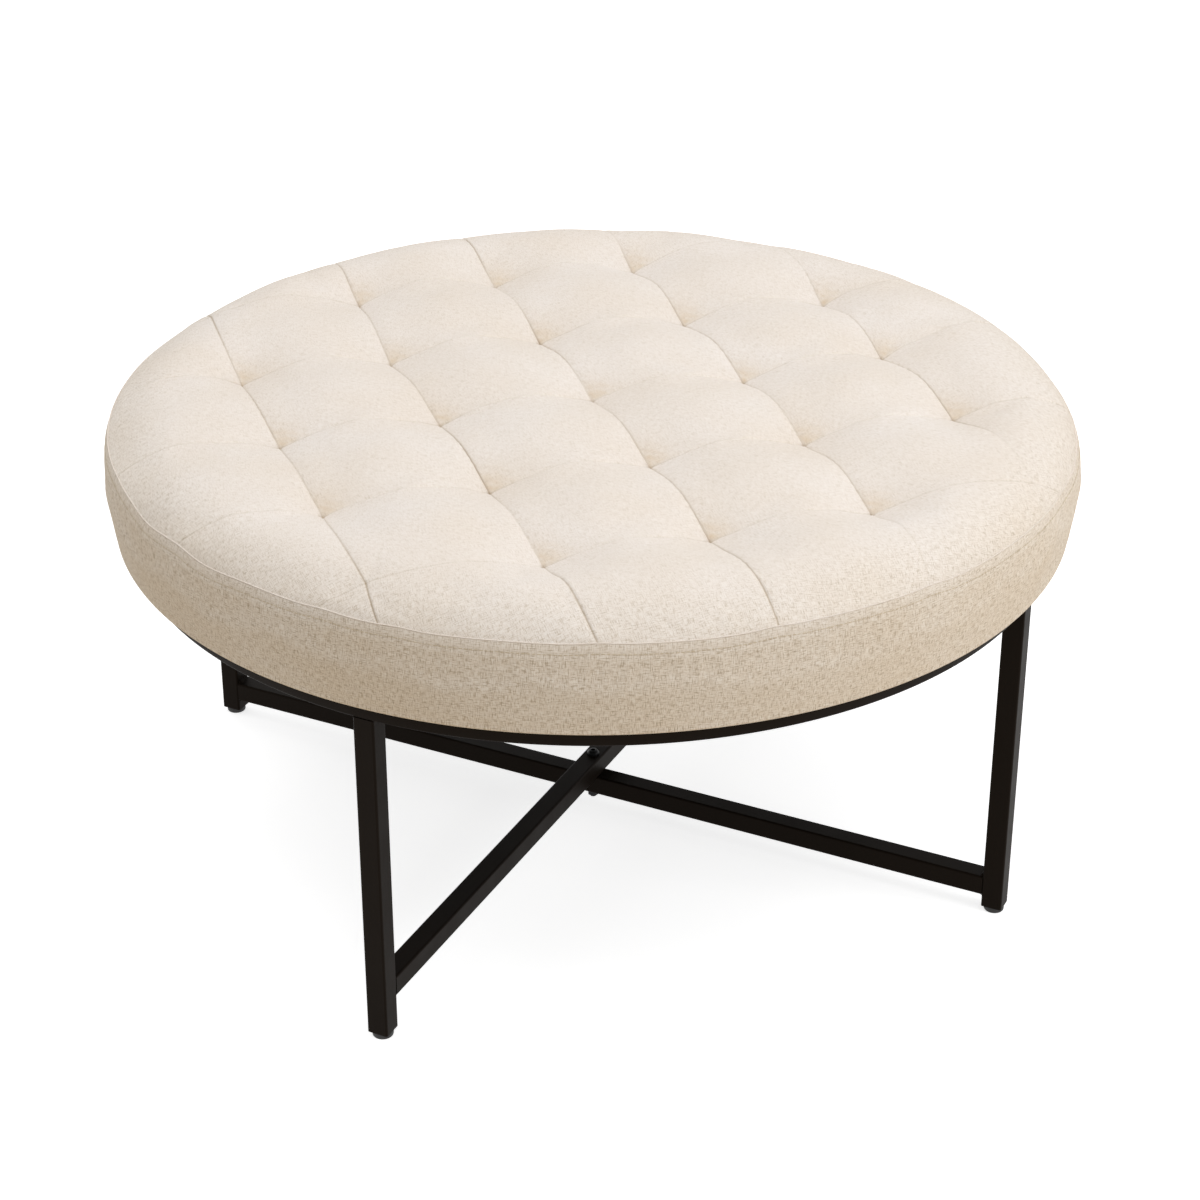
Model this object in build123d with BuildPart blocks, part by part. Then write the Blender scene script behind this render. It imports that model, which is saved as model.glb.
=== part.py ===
from build123d import *
from math import asin, cos, pi, sin, sqrt
import os

# A round tufted ottoman. The cushion sits on a rolled ring of square tube, and the ring is
# bolted to two welded leg frames that cross under it, one bar lying on top of the other.
# Z is up and the floor is z = 0, with the origin on the floor under the cushion's centre.
# The left and right legs stand on X, the front and back legs on Y.

# Cushion
seat_width = 900.0  # across the widest part of the cushion's side
ring_inset = 19.0  # how far the cushion stands out past the ring
side_taper = 5.0  # how much the side draws in from its widest to its lower edge
band_drop = 81.2  # from the boxing seam down to the cushion's underside
widest_drop = 15.5  # from the boxing seam down to the widest part of the side
shoulder_rise = 29.6  # from the boxing seam up to the level top
shoulder_run = 82.0  # from the widest part in to where the shoulder meets the level top
band_wall = 1.5
turn_under = 33.0  # the band's strip that is folded under the board
lower_edge = 3.5  # bevel where the band turns under the board
tuft_floor_wall = 4.5  # fabric and wadding left under the lowest point of a tuft
facets_across_shoulder = 5

# Tufts, on a square grid turned by half a right angle from the legs
tuft_count_across = 5
tuft_spacing_share = 0.16444  # of the seat's width
tuft_depth = 21.2  # below the level top
pillow_reach_share = 0.5946  # of the spacing: from a tuft to where the pillow beside it is level
seam_depth = 8.5  # of a seam between two tufts, below the level top
seam_reach_share = 0.48  # of the spacing: from a seam to where the pillow beside it is level
pillow_lift = 0.5  # how far above the level top the pillows' flanks would level out
tie_radius = 1.0
tie_hole_radius = 1.6
toggle_length = 20.0
toggle_width = 6.0
toggle_thickness = 2.0
tie_seat = 0.5  # between the top of a tie and the fabric of its tuft
cord_sides = 6

# Seat board and underside
board_thickness = 12.0
board_margin = 0.5  # between the board's edge and the band's inside
foam_inset = 1.0  # from the board's edge in to the foam's side
foam_edge = 5.0  # how far the foam's top edge is trimmed in
folded_thickness = 2.2  # the band where it is folded under the board
dust_cover_thickness = 0.8
dust_cover_margin = 6.0  # from the dust cover's edge to the ring's outer face

# Square steel tube and the frame
tube = 20.0
tube_wall = 1.5
tube_corner = 2.0
leg_length = 322.0
lower_bar_rise = 12.0  # from the leg's lower end to the lower cross bar
weld_size = 3.0
plug_depth = 12.0  # threaded plug in the top of each leg
foot_plug_depth = 15.0  # threaded plug in the bottom of each leg
plug_gap = 0.05

# Screws, all of the same thread. Small round pieces are turned with flats to keep them light.
turned_sides = 20
thread_sides = 10
thread_radius = 3.0
thread_gap = 0.05
bolt_clearance = 0.3  # between a screw and the hole it passes through
centre_head_radius = 6.0
centre_head_height = 4.2
centre_head_edge = 1.6  # the straight rim below the head's bevel
centre_head_bevel = 2.0
socket_across = 4.0  # hexagon socket, across its flats
socket_depth = 2.4
washer_radius = 7.0
washer_thickness = 1.6
nut_across = 10.0
nut_height = 5.0
bolt_end = 2.0  # what stands out past the nut
small_head_radius = 5.0
small_head_height = 4.0
leg_screw_length = 12.0
access_radius = 6.5  # hole in the top of the ring, for the leg screw's head
hex_head_height = 4.0

# Tabs that hold the cushion to the ring
tab_length = 25.0
tab_width = 30.0
tab_thickness = 3.0
tab_hole_inset = 12.0  # from the ring's inner face to the tab's hole
insert_radius = 5.0
insert_depth = 10.0

# Levelling feet
foot_radius = 9.5
foot_height = 6.0
foot_bevel = 1.2
foot_travel = 6.0  # how far each foot screws down
thread_hold = 14.0  # thread still in the plug when a foot is screwed right down

# Heights, worked out upwards from the floor
leg_foot_z = foot_height
lower_bar_z = leg_foot_z + lower_bar_rise
upper_bar_z = lower_bar_z + tube
cross_top_z = upper_bar_z + tube
ring_z = leg_foot_z + leg_length
ring_top_z = ring_z + tube
fold_z = ring_top_z + dust_cover_thickness
board_z = fold_z + folded_thickness
board_top_z = board_z + board_thickness
seam_z = fold_z + band_drop
widest_z = seam_z - widest_drop
shoulder_z = seam_z + shoulder_rise
tuft_z = shoulder_z - tuft_depth
foam_top_z = tuft_z - tuft_floor_wall

# Radii, worked out inwards from the cushion's side
seat_radius = seat_width / 2
ring_outer = seat_radius - ring_inset
ring_inner = ring_outer - tube
leg_circle = ring_outer - tube / 2
lower_radius = seat_radius - side_taper
shoulder_radius = seat_radius - shoulder_run
tuft_spacing = seat_width * tuft_spacing_share
pillow_reach = tuft_spacing * pillow_reach_share
seam_reach = tuft_spacing * seam_reach_share
board_radius = lower_radius - band_wall - board_margin
foam_radius = board_radius - foam_inset
tab_hole_circle = ring_inner - tab_hole_inset
tube_bevel = tube_corner * (2 - sqrt(2))
bore_radius = thread_radius + thread_gap
bolt_hole_radius = thread_radius + bolt_clearance
hexagon_sides = 6
nut_radius = nut_across / 2 / cos(pi / hexagon_sides)
socket_radius = socket_across / 2 / cos(pi / hexagon_sides)

leg_count = 4
full_turn_angle = 360
legs_at = [full_turn_angle * leg / leg_count for leg in range(leg_count)]
tabs_at = [angle + full_turn_angle / leg_count / 2 for angle in legs_at]
leg_names = {"right": (1, 0), "back": (0, 1), "left": (-1, 0), "front": (0, -1)}

os.makedirs("parts", exist_ok=True)


def tuft_places():
    """Grid points turned by 45 degrees, without the grid's four corners."""
    half = tuft_count_across // 2
    steps = range(-half, half + 1)
    grid = [(i, j) for i in steps for j in steps if abs(i) + abs(j) < 2 * half]
    pitch = tuft_spacing / sqrt(2)
    return [((i + j) * pitch, (i - j) * pitch) for i, j in grid]


def shoulder_points():
    """Points down the shoulder, part of an ellipse, from the level top to the boxing seam."""
    rise = shoulder_z - widest_z
    start = asin(widest_drop / rise)
    turn = (pi / 2 - start) / facets_across_shoulder
    angles = [pi / 2 - turn * step for step in range(facets_across_shoulder + 1)]
    return [
        (shoulder_radius + shoulder_run * cos(a), widest_z + rise * sin(a)) for a in angles
    ]


def trough(plane, depth, reach, half_length):
    """A trough between two pillows: two arcs, level at the pillows, that meet in a crease."""
    arc = (reach**2 + depth**2) / (2 * depth)
    with BuildPart() as cutter:
        with BuildSketch(plane):
            with BuildLine():
                RadiusArc((0, -depth), (reach, 0), arc)
                RadiusArc((0, -depth), (-reach, 0), -arc)
                Polyline((reach, 0), (reach, depth), (-reach, depth))
                Line((-reach, depth), (-reach, 0))
            make_face()
        extrude(amount=half_length, both=True)
    return cutter.part


def tuft_hollow(x, y):
    """The hollow round one tuft: two crossed troughs, whose corners fall into the seams."""
    depth = tuft_depth + pillow_lift
    planes = (Plane.XZ, Plane.YZ)
    across, along = (trough(plane, depth, pillow_reach, pillow_reach) for plane in planes)
    return (across & along).moved(Location((x, y, shoulder_z + pillow_lift)))


def seam_channels():
    """The long shallow troughs of the seams, from rim to rim both ways across the top."""
    half = tuft_count_across // 2
    channels = []
    for way in (1, -1):
        for row in range(-half, half + 1):
            shift = row * tuft_spacing / sqrt(2)
            middle = (-way * shift, shift, shoulder_z + pillow_lift)
            plane = Plane(middle, x_dir=(-way, 1, 0), z_dir=(1, way, 0))
            channels.append(trough(plane, seam_depth + pillow_lift, seam_reach, seat_radius))
    return channels


def square_tube(plane, length):
    """A square tube with rounded corners, run both ways from its middle."""
    bore = tube - 2 * tube_wall
    with BuildPart() as bar:
        with BuildSketch(plane):
            RectangleRounded(tube, tube, tube_corner)
            Rectangle(bore, bore, mode=Mode.SUBTRACT)
        extrude(amount=length / 2, both=True)
    return bar.part


def threaded_plug(base_z, depth):
    """Four square plugs that fill the legs' bores, each with a threaded hole through it."""
    side = tube - 2 * tube_wall - 2 * plug_gap
    with BuildPart() as plugs:
        with BuildSketch(Plane.XY.offset(base_z)):
            with PolarLocations(leg_circle, leg_count, rotate=False):
                Rectangle(side, side)
                RegularPolygon(bore_radius, thread_sides, mode=Mode.SUBTRACT)
        extrude(amount=depth)
    return plugs.part


# Foam core: the firm block on the board, with its top edge trimmed to the shoulder
with BuildPart() as foam_core:
    with BuildSketch(Plane.XZ):
        with BuildLine():
            Polyline(
                (0, board_top_z),
                (foam_radius, board_top_z),
                (foam_radius, seam_z),
                (foam_radius - foam_edge, foam_top_z),
                (0, foam_top_z),
                close=True,
            )
        make_face()
    revolve(axis=Axis.Z)
    with BuildSketch(Plane.XY.offset(board_top_z)):
        with Locations(*tuft_places()):
            RegularPolygon(tie_hole_radius, cord_sides)
    extrude(amount=foam_top_z - board_top_z, mode=Mode.SUBTRACT)

# Tufted top: the sewn fabric panel with the wadding that is quilted to its back. It sinks along
# the seams and more at every tuft, and underneath it lies on the foam.
shoulder = shoulder_points()
rim_radius = shoulder[-1][0]
with BuildPart() as tufted_top:
    with BuildSketch(Plane.XZ):
        with BuildLine():
            Polyline((0, seam_z), (0, shoulder_z), *shoulder, close=True)
        make_face()
    revolve(axis=Axis.Z)
    add(seam_channels(), mode=Mode.SUBTRACT)
    add([tuft_hollow(x, y) for x, y in tuft_places()], mode=Mode.SUBTRACT)
    add(foam_core, mode=Mode.SUBTRACT)
    with BuildSketch(Plane.XY.offset(seam_z)):
        with Locations(*tuft_places()):
            RegularPolygon(tie_hole_radius, cord_sides)
    extrude(amount=tuft_z - tie_seat - seam_z, mode=Mode.SUBTRACT)

# Boxing band: the strip round the side, bowed out a little and folded in under the board
side_mid_z = (fold_z + widest_z) / 2
side_mid_radius = seat_radius - side_taper / 4
with BuildPart() as boxing_band:
    with BuildSketch(Plane.XZ):
        with BuildLine():
            Polyline(
                (lower_radius - turn_under, fold_z),
                (lower_radius - lower_edge, fold_z),
                (lower_radius, fold_z + lower_edge),
                (side_mid_radius, side_mid_z),
                (seat_radius, widest_z),
                (rim_radius, seam_z),
                (rim_radius - band_wall, seam_z),
                (seat_radius - band_wall, widest_z),
                (lower_radius - band_wall, board_z),
                (lower_radius - turn_under, board_z),
                close=True,
            )
        make_face()
    revolve(axis=Axis.Z)

# Seat board: a plywood disc, drilled for the ties and for the four threaded inserts
with BuildPart() as seat_board:
    with BuildSketch(Plane.XY.offset(board_z)):
        Circle(board_radius)
        with Locations(*tuft_places()):
            RegularPolygon(tie_hole_radius, cord_sides, mode=Mode.SUBTRACT)
    extrude(amount=board_thickness)
    with BuildSketch(Plane.XY.offset(board_z)):
        with PolarLocations(tab_hole_circle, leg_count, start_angle=tabs_at[0]):
            RegularPolygon(insert_radius, thread_sides)
    extrude(amount=insert_depth, mode=Mode.SUBTRACT)

# Tuft ties: a cord from each tuft down through the filling and the board
with BuildPart() as tuft_ties:
    for x, y in tuft_places():
        with BuildSketch(Plane.XY.offset(board_z)):
            with Locations((x, y)):
                RegularPolygon(tie_radius, cord_sides)
        extrude(amount=tuft_z - 2 * tie_seat - board_z)

# Tie toggles: a flat bar under the board at each tie, which keeps the tie pulled tight
with BuildPart() as tie_toggles:
    with BuildSketch(Plane.XY.offset(board_z - toggle_thickness)):
        with Locations(*tuft_places()):
            Rectangle(toggle_length, toggle_width)
    extrude(amount=toggle_thickness)

# Dust cover: the thin black cloth under the seat, pinched between the ring and the cushion
with BuildPart() as dust_cover:
    with BuildSketch(Plane.XY.offset(ring_top_z)):
        Circle(ring_outer - dust_cover_margin)
        with PolarLocations(tab_hole_circle, leg_count, start_angle=tabs_at[0]):
            RegularPolygon(bolt_hole_radius, thread_sides, mode=Mode.SUBTRACT)
    extrude(amount=dust_cover_thickness)

# Insert nuts: threaded inserts pressed into the board from below, one over each tab
with BuildPart() as insert_nuts:
    with BuildSketch(Plane.XY.offset(board_z)):
        with PolarLocations(tab_hole_circle, leg_count, start_angle=tabs_at[0]):
            RegularPolygon(insert_radius - plug_gap, thread_sides)
            RegularPolygon(bore_radius, thread_sides, mode=Mode.SUBTRACT)
    extrude(amount=insert_depth)

# Seat ring: square tube rolled into a circle, holed above each leg for the leg's screw
with BuildPart() as seat_ring:
    with BuildSketch(Plane.XZ) as ring_section:
        with Locations((leg_circle, ring_z + tube / 2)):
            Rectangle(tube, tube)
        chamfer(ring_section.vertices(), tube_bevel)
        with Locations((leg_circle, ring_z + tube / 2)):
            Rectangle(tube - 2 * tube_wall, tube - 2 * tube_wall, mode=Mode.SUBTRACT)
    revolve(axis=Axis.Z)
    with BuildSketch(Plane.XY.offset(ring_z)):
        with PolarLocations(leg_circle, leg_count):
            RegularPolygon(bolt_hole_radius, thread_sides)
    extrude(amount=tube / 2, mode=Mode.SUBTRACT)
    with BuildSketch(Plane.XY.offset(ring_top_z)):
        with PolarLocations(leg_circle, leg_count):
            RegularPolygon(access_radius, thread_sides)
    extrude(amount=-tube / 2, mode=Mode.SUBTRACT)

# Seat tabs: flat plates welded inside the ring, level with its top, halfway between legs
with BuildPart() as seat_tabs:
    with BuildSketch(Plane.XY.offset(ring_top_z - tab_thickness)):
        with PolarLocations(ring_inner - tab_length / 2, leg_count, start_angle=tabs_at[0]):
            Rectangle(tab_length, tab_width)
        Circle(ring_inner, mode=Mode.INTERSECT)
        with PolarLocations(tab_hole_circle, leg_count, start_angle=tabs_at[0]):
            RegularPolygon(bolt_hole_radius, thread_sides, mode=Mode.SUBTRACT)
    extrude(amount=tab_thickness)

# Seat screws: hexagon-headed, up through the tabs and the dust cover into the insert nuts
tab_z = ring_top_z - tab_thickness
with BuildPart() as seat_screws:
    with BuildSketch(Plane.XY.offset(tab_z - hex_head_height)):
        with PolarLocations(tab_hole_circle, leg_count, start_angle=tabs_at[0]):
            RegularPolygon(nut_radius, hexagon_sides)
    extrude(amount=hex_head_height)
    with BuildSketch(Plane.XY.offset(tab_z)):
        with PolarLocations(tab_hole_circle, leg_count, start_angle=tabs_at[0]):
            RegularPolygon(thread_radius, thread_sides)
    extrude(amount=board_z + insert_depth - tab_z)

# Leg screws: inside the ring, down through its lower wall into the plug in each leg
with BuildPart() as leg_screws:
    with BuildSketch(Plane.XY.offset(ring_z + tube_wall)):
        with PolarLocations(leg_circle, leg_count, rotate=False):
            RegularPolygon(small_head_radius, thread_sides)
    extrude(amount=small_head_height)
    with BuildSketch(Plane.XY.offset(ring_z + tube_wall)):
        with PolarLocations(leg_circle, leg_count, rotate=False):
            RegularPolygon(thread_radius, thread_sides)
    extrude(amount=-leg_screw_length)
    with BuildSketch(Plane.XY.offset(ring_z + tube_wall + small_head_height)):
        with PolarLocations(leg_circle, leg_count, rotate=False):
            RegularPolygon(socket_radius, hexagon_sides)
    extrude(amount=-socket_depth, mode=Mode.SUBTRACT)

# Leg frames: two upright square tubes joined near the floor by a bar between them
legs = {}
for side, (x, y) in leg_names.items():
    middle = Plane((x * leg_circle, y * leg_circle, leg_foot_z + leg_length / 2))
    with BuildPart() as leg:
        add(square_tube(middle, leg_length))
    legs[side] = leg

bar_length = 2 * ring_inner
lower_middle = Plane((0, 0, lower_bar_z + tube / 2), x_dir=(0, 1, 0), z_dir=(1, 0, 0))
with BuildPart() as lower_bar:
    add(square_tube(lower_middle, bar_length))
    with BuildSketch(Plane.XY.offset(lower_bar_z)):
        RegularPolygon(bolt_hole_radius, thread_sides)
    extrude(amount=tube, mode=Mode.SUBTRACT)

upper_middle = Plane((0, 0, upper_bar_z + tube / 2), x_dir=(1, 0, 0), z_dir=(0, -1, 0))
with BuildPart() as upper_bar:
    add(square_tube(upper_middle, bar_length))
    with BuildSketch(Plane.XY.offset(upper_bar_z)):
        RegularPolygon(bolt_hole_radius, thread_sides)
    extrude(amount=tube, mode=Mode.SUBTRACT)

# Bar welds: a bead above and below the bar at each leg
with BuildPart() as bar_welds:
    for angle, bar_z in zip(legs_at, [lower_bar_z, upper_bar_z] * 2):
        radial = Plane.XZ.rotated((0, 0, angle))
        width = (tube - 2 * tube_corner) / 2
        for height, way in ((bar_z, -1), (bar_z + tube, 1)):
            with BuildSketch(radial):
                with BuildLine():
                    Polyline(
                        (ring_inner, height),
                        (ring_inner - weld_size, height),
                        (ring_inner, height + way * weld_size),
                        close=True,
                    )
                make_face()
            extrude(amount=width, both=True)

leg_plugs = threaded_plug(ring_z - plug_depth, plug_depth)
foot_plugs = threaded_plug(leg_foot_z, foot_plug_depth)

# Centre bolt: a low bevelled head with a hexagon socket, through both bars where they cross
with BuildPart() as centre_bolt:
    with BuildSketch(Plane.XY.offset(cross_top_z)):
        RegularPolygon(centre_head_radius, turned_sides)
    extrude(amount=centre_head_height)
    chamfer(
        centre_bolt.edges().group_by(Axis.Z)[-1],
        centre_head_height - centre_head_edge,
        centre_head_bevel,
    )
    with BuildSketch(Plane.XY.offset(cross_top_z)):
        RegularPolygon(thread_radius, thread_sides)
    extrude(amount=-(2 * tube + washer_thickness + nut_height + bolt_end))
    with BuildSketch(Plane.XY.offset(cross_top_z + centre_head_height)):
        RegularPolygon(socket_radius, hexagon_sides)
    extrude(amount=-socket_depth, mode=Mode.SUBTRACT)

# Washer and nut under the lower bar
with BuildPart() as centre_washer:
    with BuildSketch(Plane.XY.offset(lower_bar_z)):
        RegularPolygon(washer_radius, turned_sides)
        RegularPolygon(bolt_hole_radius, thread_sides, mode=Mode.SUBTRACT)
    extrude(amount=-washer_thickness)

with BuildPart() as centre_nut:
    with BuildSketch(Plane.XY.offset(lower_bar_z - washer_thickness)):
        RegularPolygon(nut_radius, hexagon_sides)
        RegularPolygon(bore_radius, thread_sides, mode=Mode.SUBTRACT)
    extrude(amount=-nut_height)

# Levelling feet: a round pad on a threaded stem that screws into the leg's lower plug
feet = {}
for side, (x, y) in leg_names.items():
    with BuildPart() as foot:
        with BuildSketch():
            with Locations((x * leg_circle, y * leg_circle)):
                RegularPolygon(foot_radius, turned_sides)
        extrude(amount=foot_height)
        chamfer(foot.edges().group_by(Axis.Z)[0], foot_bevel)
        with BuildSketch(Plane.XY.offset(foot_height)):
            with Locations((x * leg_circle, y * leg_circle)):
                RegularPolygon(thread_radius, thread_sides)
        extrude(amount=foot_travel + thread_hold)
    feet[side] = foot

pieces = {
    "tufted_top": tufted_top.part,
    "boxing_band": boxing_band.part,
    "foam_core": foam_core.part,
    "seat_board": seat_board.part,
    "tuft_ties": tuft_ties.part,
    "tie_toggles": tie_toggles.part,
    "dust_cover": dust_cover.part,
    "insert_nuts": insert_nuts.part,
    "seat_ring": seat_ring.part,
    "seat_tabs": seat_tabs.part,
    "seat_screws": seat_screws.part,
    "leg_screws": leg_screws.part,
    "leg_plugs": leg_plugs,
    "foot_plugs": foot_plugs,
    "lower_bar": lower_bar.part,
    "upper_bar": upper_bar.part,
    "bar_welds": bar_welds.part,
    "centre_bolt": centre_bolt.part,
    "centre_washer": centre_washer.part,
    "centre_nut": centre_nut.part,
}
for side in leg_names:
    pieces[f"leg_{side}"] = legs[side].part
    pieces[f"foot_{side}"] = feet[side].part

for name, piece in pieces.items():
    piece.label = name
    export_step(piece, f"parts/{name}.step")
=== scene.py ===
# %% [markdown]
# # A round tufted ottoman, dressed
#
# The real object is a foam cushion in a sewn linen-look cover, standing on a ring of black square
# tube and two crossed leg frames. The CAD model already holds every size and every joint. This
# lesson gives the model its looks: each soft solid is replaced by a piece of sewn cloth or foam,
# round fittings get smooth surfaces, and every surface gets a finish made of nodes.
#
# The first step loads the CAD model as a frame to work in. Everything that follows is placed in
# the frame's own metres, so no piece has to be fitted afterwards.

import math

import bmesh
import bpy
import numpy as np
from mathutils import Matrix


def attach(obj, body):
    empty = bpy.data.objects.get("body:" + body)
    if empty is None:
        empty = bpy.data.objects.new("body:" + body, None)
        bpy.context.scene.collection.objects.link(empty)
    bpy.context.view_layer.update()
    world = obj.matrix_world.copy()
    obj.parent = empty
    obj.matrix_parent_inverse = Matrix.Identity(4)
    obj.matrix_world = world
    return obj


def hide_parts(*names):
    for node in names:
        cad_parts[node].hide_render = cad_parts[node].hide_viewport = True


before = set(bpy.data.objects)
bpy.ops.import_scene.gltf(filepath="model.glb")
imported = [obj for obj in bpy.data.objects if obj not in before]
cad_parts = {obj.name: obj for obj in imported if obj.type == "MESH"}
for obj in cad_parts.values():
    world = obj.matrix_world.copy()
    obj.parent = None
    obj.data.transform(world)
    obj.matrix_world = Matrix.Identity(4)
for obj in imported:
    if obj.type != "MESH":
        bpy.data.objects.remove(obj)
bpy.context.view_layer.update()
scene = bpy.context.scene
scene.view_settings.view_transform = "Standard"

# %% [markdown]
# ## Small tools
#
# Colours are easiest to judge as the hex codes that a paint program shows, but Blender mixes light
# in linear numbers. One function turns the one into the other. A second fills a node's sockets, with
# a value or with a link, and a third adds a node, so that a finish reads as a list of its layers.

# %% Colours and nodes
MM = 0.001


def linear(code):
    """An sRGB hex colour as linear light: each channel goes through the sRGB curve, backwards."""
    srgb = np.array([int(code[at:at + 2], 16) / 255 for at in (1, 3, 5)])
    light = np.where(srgb <= 0.04045, srgb / 12.92, ((srgb + 0.055) / 1.055) ** 2.4)
    return (*light.tolist(), 1.0)


def fill(node, inputs):
    """Gives each named or numbered input a value, a link, or a link to a node's first output."""
    for name, value in inputs.items():
        if isinstance(value, bpy.types.Node):
            value = value.outputs[0]
        if isinstance(value, bpy.types.NodeSocket):
            node.id_data.links.new(value, node.inputs[name])
        else:
            node.inputs[name].default_value = value


def add(tree, kind, inputs=None, stops=(), **settings):
    """Adds a shader node with its settings, inputs and, for a ramp, its (place, hex colour) stops."""
    node = tree.nodes.new("ShaderNode" + kind)
    for name, value in settings.items():
        setattr(node, name, value)
    fill(node, inputs or {})
    for number, (place, code) in enumerate(stops):
        stop = node.color_ramp.elements[number] if number < 2 else node.color_ramp.elements.new(place)
        stop.position, stop.color = place, linear(code)
    return node


def finish(name, inputs):
    """A new material, with its main shader's plain values set. Returns material, tree and shader."""
    made = bpy.data.materials.new(name)
    made.use_nodes = True
    shader = made.node_tree.nodes["Principled BSDF"]
    fill(shader, inputs)
    return made, made.node_tree, shader


# %% [markdown]
# ## Surfaces from arrays
#
# Sewn covers, rolled rings and turned screws are all surfaces with two directions: along a seam
# and across it, or round an axis and along it. So each shape here is an array of points with rows
# and columns, worked out in millimetres with numpy, and one function turns such an array into a
# mesh. Its texture map is in metres of cloth, so that a thread is as wide on every piece.

# %% Grids to meshes
def polar(radius, bearing, height):
    """Points at a radius, a bearing and a height: x is radius times cosine, y radius times sine."""
    return np.stack(np.broadcast_arrays(radius * np.cos(bearing), radius * np.sin(bearing), height), -1)


def mesh_of(name, points, faces):
    """A mesh from an array of points in mm and a list of the points round each face."""
    mesh = bpy.data.meshes.new(name)
    mesh.from_pydata((points.reshape(-1, 3) * MM).tolist(), [], faces)
    return mesh


def grid_mesh(name, points, closed=(False, False), cloth=None, flip=False):
    """A mesh of quads between the rows and columns of points, an array (rows, columns, 3) in mm.

    closed joins the last row or column to the first. cloth holds each point's place on the flat
    cloth in mm, with one more row or column where that direction is closed.
    """
    rows, columns = points.shape[:2]
    row, column = np.meshgrid(
        np.arange(rows - (not closed[0])), np.arange(columns - (not closed[1])), indexing="ij"
    )
    corner_row = row.ravel()[:, None] + np.array([0, 0, 1, 1])
    corner_column = column.ravel()[:, None] + np.array([0, 1, 1, 0])
    if flip:
        corner_row, corner_column = corner_row[:, ::-1], corner_column[:, ::-1]
    mesh = mesh_of(name, points, ((corner_row % rows) * columns + corner_column % columns).tolist())
    if cloth is not None:
        layer = mesh.uv_layers.new(name="cloth")
        layer.uv.foreach_set("vector", (cloth[corner_row, corner_column] * MM).ravel())
    return mesh


def joined(name, meshes):
    """One mesh that holds all the given ones, with doubled points merged and faces outwards."""
    work = bmesh.new()
    for mesh in meshes:
        work.from_mesh(mesh)
        bpy.data.meshes.remove(mesh)
    bmesh.ops.remove_doubles(work, verts=work.verts, dist=1e-6)
    bmesh.ops.recalc_face_normals(work, faces=work.faces)
    made = bpy.data.meshes.new(name)
    work.to_mesh(made)
    work.free()
    return made


# %% Turned shapes and holes
THREAD_PITCH = 1.0
THREAD_DEPTH = 0.55


def hexagon(angle):
    """A hexagon's radius at an angle, as a share of its corners': cos 30 over cos of the rest.

    The rest is the angle from the middle of the nearest flat, and a corner lies at angle zero.
    """
    return math.cos(np.pi / 6) / np.cos(angle % (np.pi / 3) - np.pi / 6)


def turned(name, profile, sides, places=((0, 0),), closed=False, thread=None):
    """A surface of revolution: the profile's (radius, height) points go round a vertical axis.

    A third number in a point is a hexagon's radius to its corners, and the point keeps inside that
    hexagon. Between the two heights of thread, the surface dips between the crests of a helix,
    whose turns are height over pitch less the share of a full circle. Places are the axes' (x, y).
    """
    angle = np.arange(sides) * (2 * np.pi / sides)
    rows = np.array([(*row, math.inf)[:3] for row in profile])
    radius = np.minimum(rows[:, :1], rows[:, 2:] * hexagon(angle))
    height = rows[:, 1:2]
    if thread is not None:
        turns = height / THREAD_PITCH - angle / (2 * np.pi)
        dip = THREAD_DEPTH * (1 - np.abs(2 * (turns % 1) - 1))
        radius = radius - np.where((height > thread[0]) & (height < thread[1]), dip, 0)
    ring = polar(radius, angle, height)
    return joined(name, [grid_mesh(name, ring + np.array([x, y, 0]), (closed, True)) for x, y in places])


def drill(name, radius, base, top, sides, places):
    """Upright cylinders at the places, for holes to be cut with."""
    return turned(name, [(0, base), (radius, base), (radius, top), (0, top)], sides, places)


def cut(mesh, *cutters):
    """The mesh less each cutter's solid, found by Blender's exact Boolean."""
    worked = bpy.data.objects.new(mesh.name, mesh)
    scene.collection.objects.link(worked)
    tools = []
    for cutter in cutters:
        tool = bpy.data.objects.new(cutter.name, cutter)
        scene.collection.objects.link(tool)
        tools.append(tool)
        boolean = worked.modifiers.new("cut", "BOOLEAN")
        boolean.operation, boolean.solver, boolean.object = "DIFFERENCE", "EXACT", tool
    shown = worked.evaluated_get(bpy.context.evaluated_depsgraph_get())
    made = bpy.data.meshes.new_from_object(shown)
    name = mesh.name
    for extra in [worked, *tools]:
        bpy.data.objects.remove(extra)
    for used in [mesh, *cutters]:
        bpy.data.meshes.remove(used)
    made.name = name
    return made


# %% Points, marks and pieces
def points_of(mesh):
    """A mesh's points as an array (count, 3) in mm."""
    found = np.empty(len(mesh.vertices) * 3)
    mesh.vertices.foreach_get("co", found)
    return found.reshape(-1, 3) / MM


def move_points(mesh, points):
    """Puts a mesh's points at the given places in mm."""
    mesh.vertices.foreach_set("co", (points * MM).ravel())
    mesh.update()


def note_on_points(mesh, name, values):
    """Stores one number for each point of a mesh, for its material to read."""
    mesh.attributes.new(name, "FLOAT", "POINT").data.foreach_set("value", values.astype(float))


def piece(mesh, material, stands_for=(), body="ottoman", sharp=None):
    """A finished piece: it gets its material, rides on its body and replaces its CAD nodes."""
    made = bpy.data.objects.new(mesh.name, mesh)
    scene.collection.objects.link(made)
    mesh.materials.append(material)
    mesh.shade_smooth()
    if sharp is not None:
        mesh.set_sharp_from_angle(angle=math.radians(sharp))
    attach(made, body)
    if stands_for:
        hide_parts(*stands_for)
    print(mesh.name, "triangles:", sum(len(face.vertices) - 2 for face in mesh.polygons))
    return made


# %% [markdown]
# ## Camera
#
# The photograph was taken from above the front right corner with a longish lens. The numbers below
# come from fitting a camera to the cushion's outline, the bars and the feet. The small shift is
# there because the photograph was cropped a little off its middle.

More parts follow.
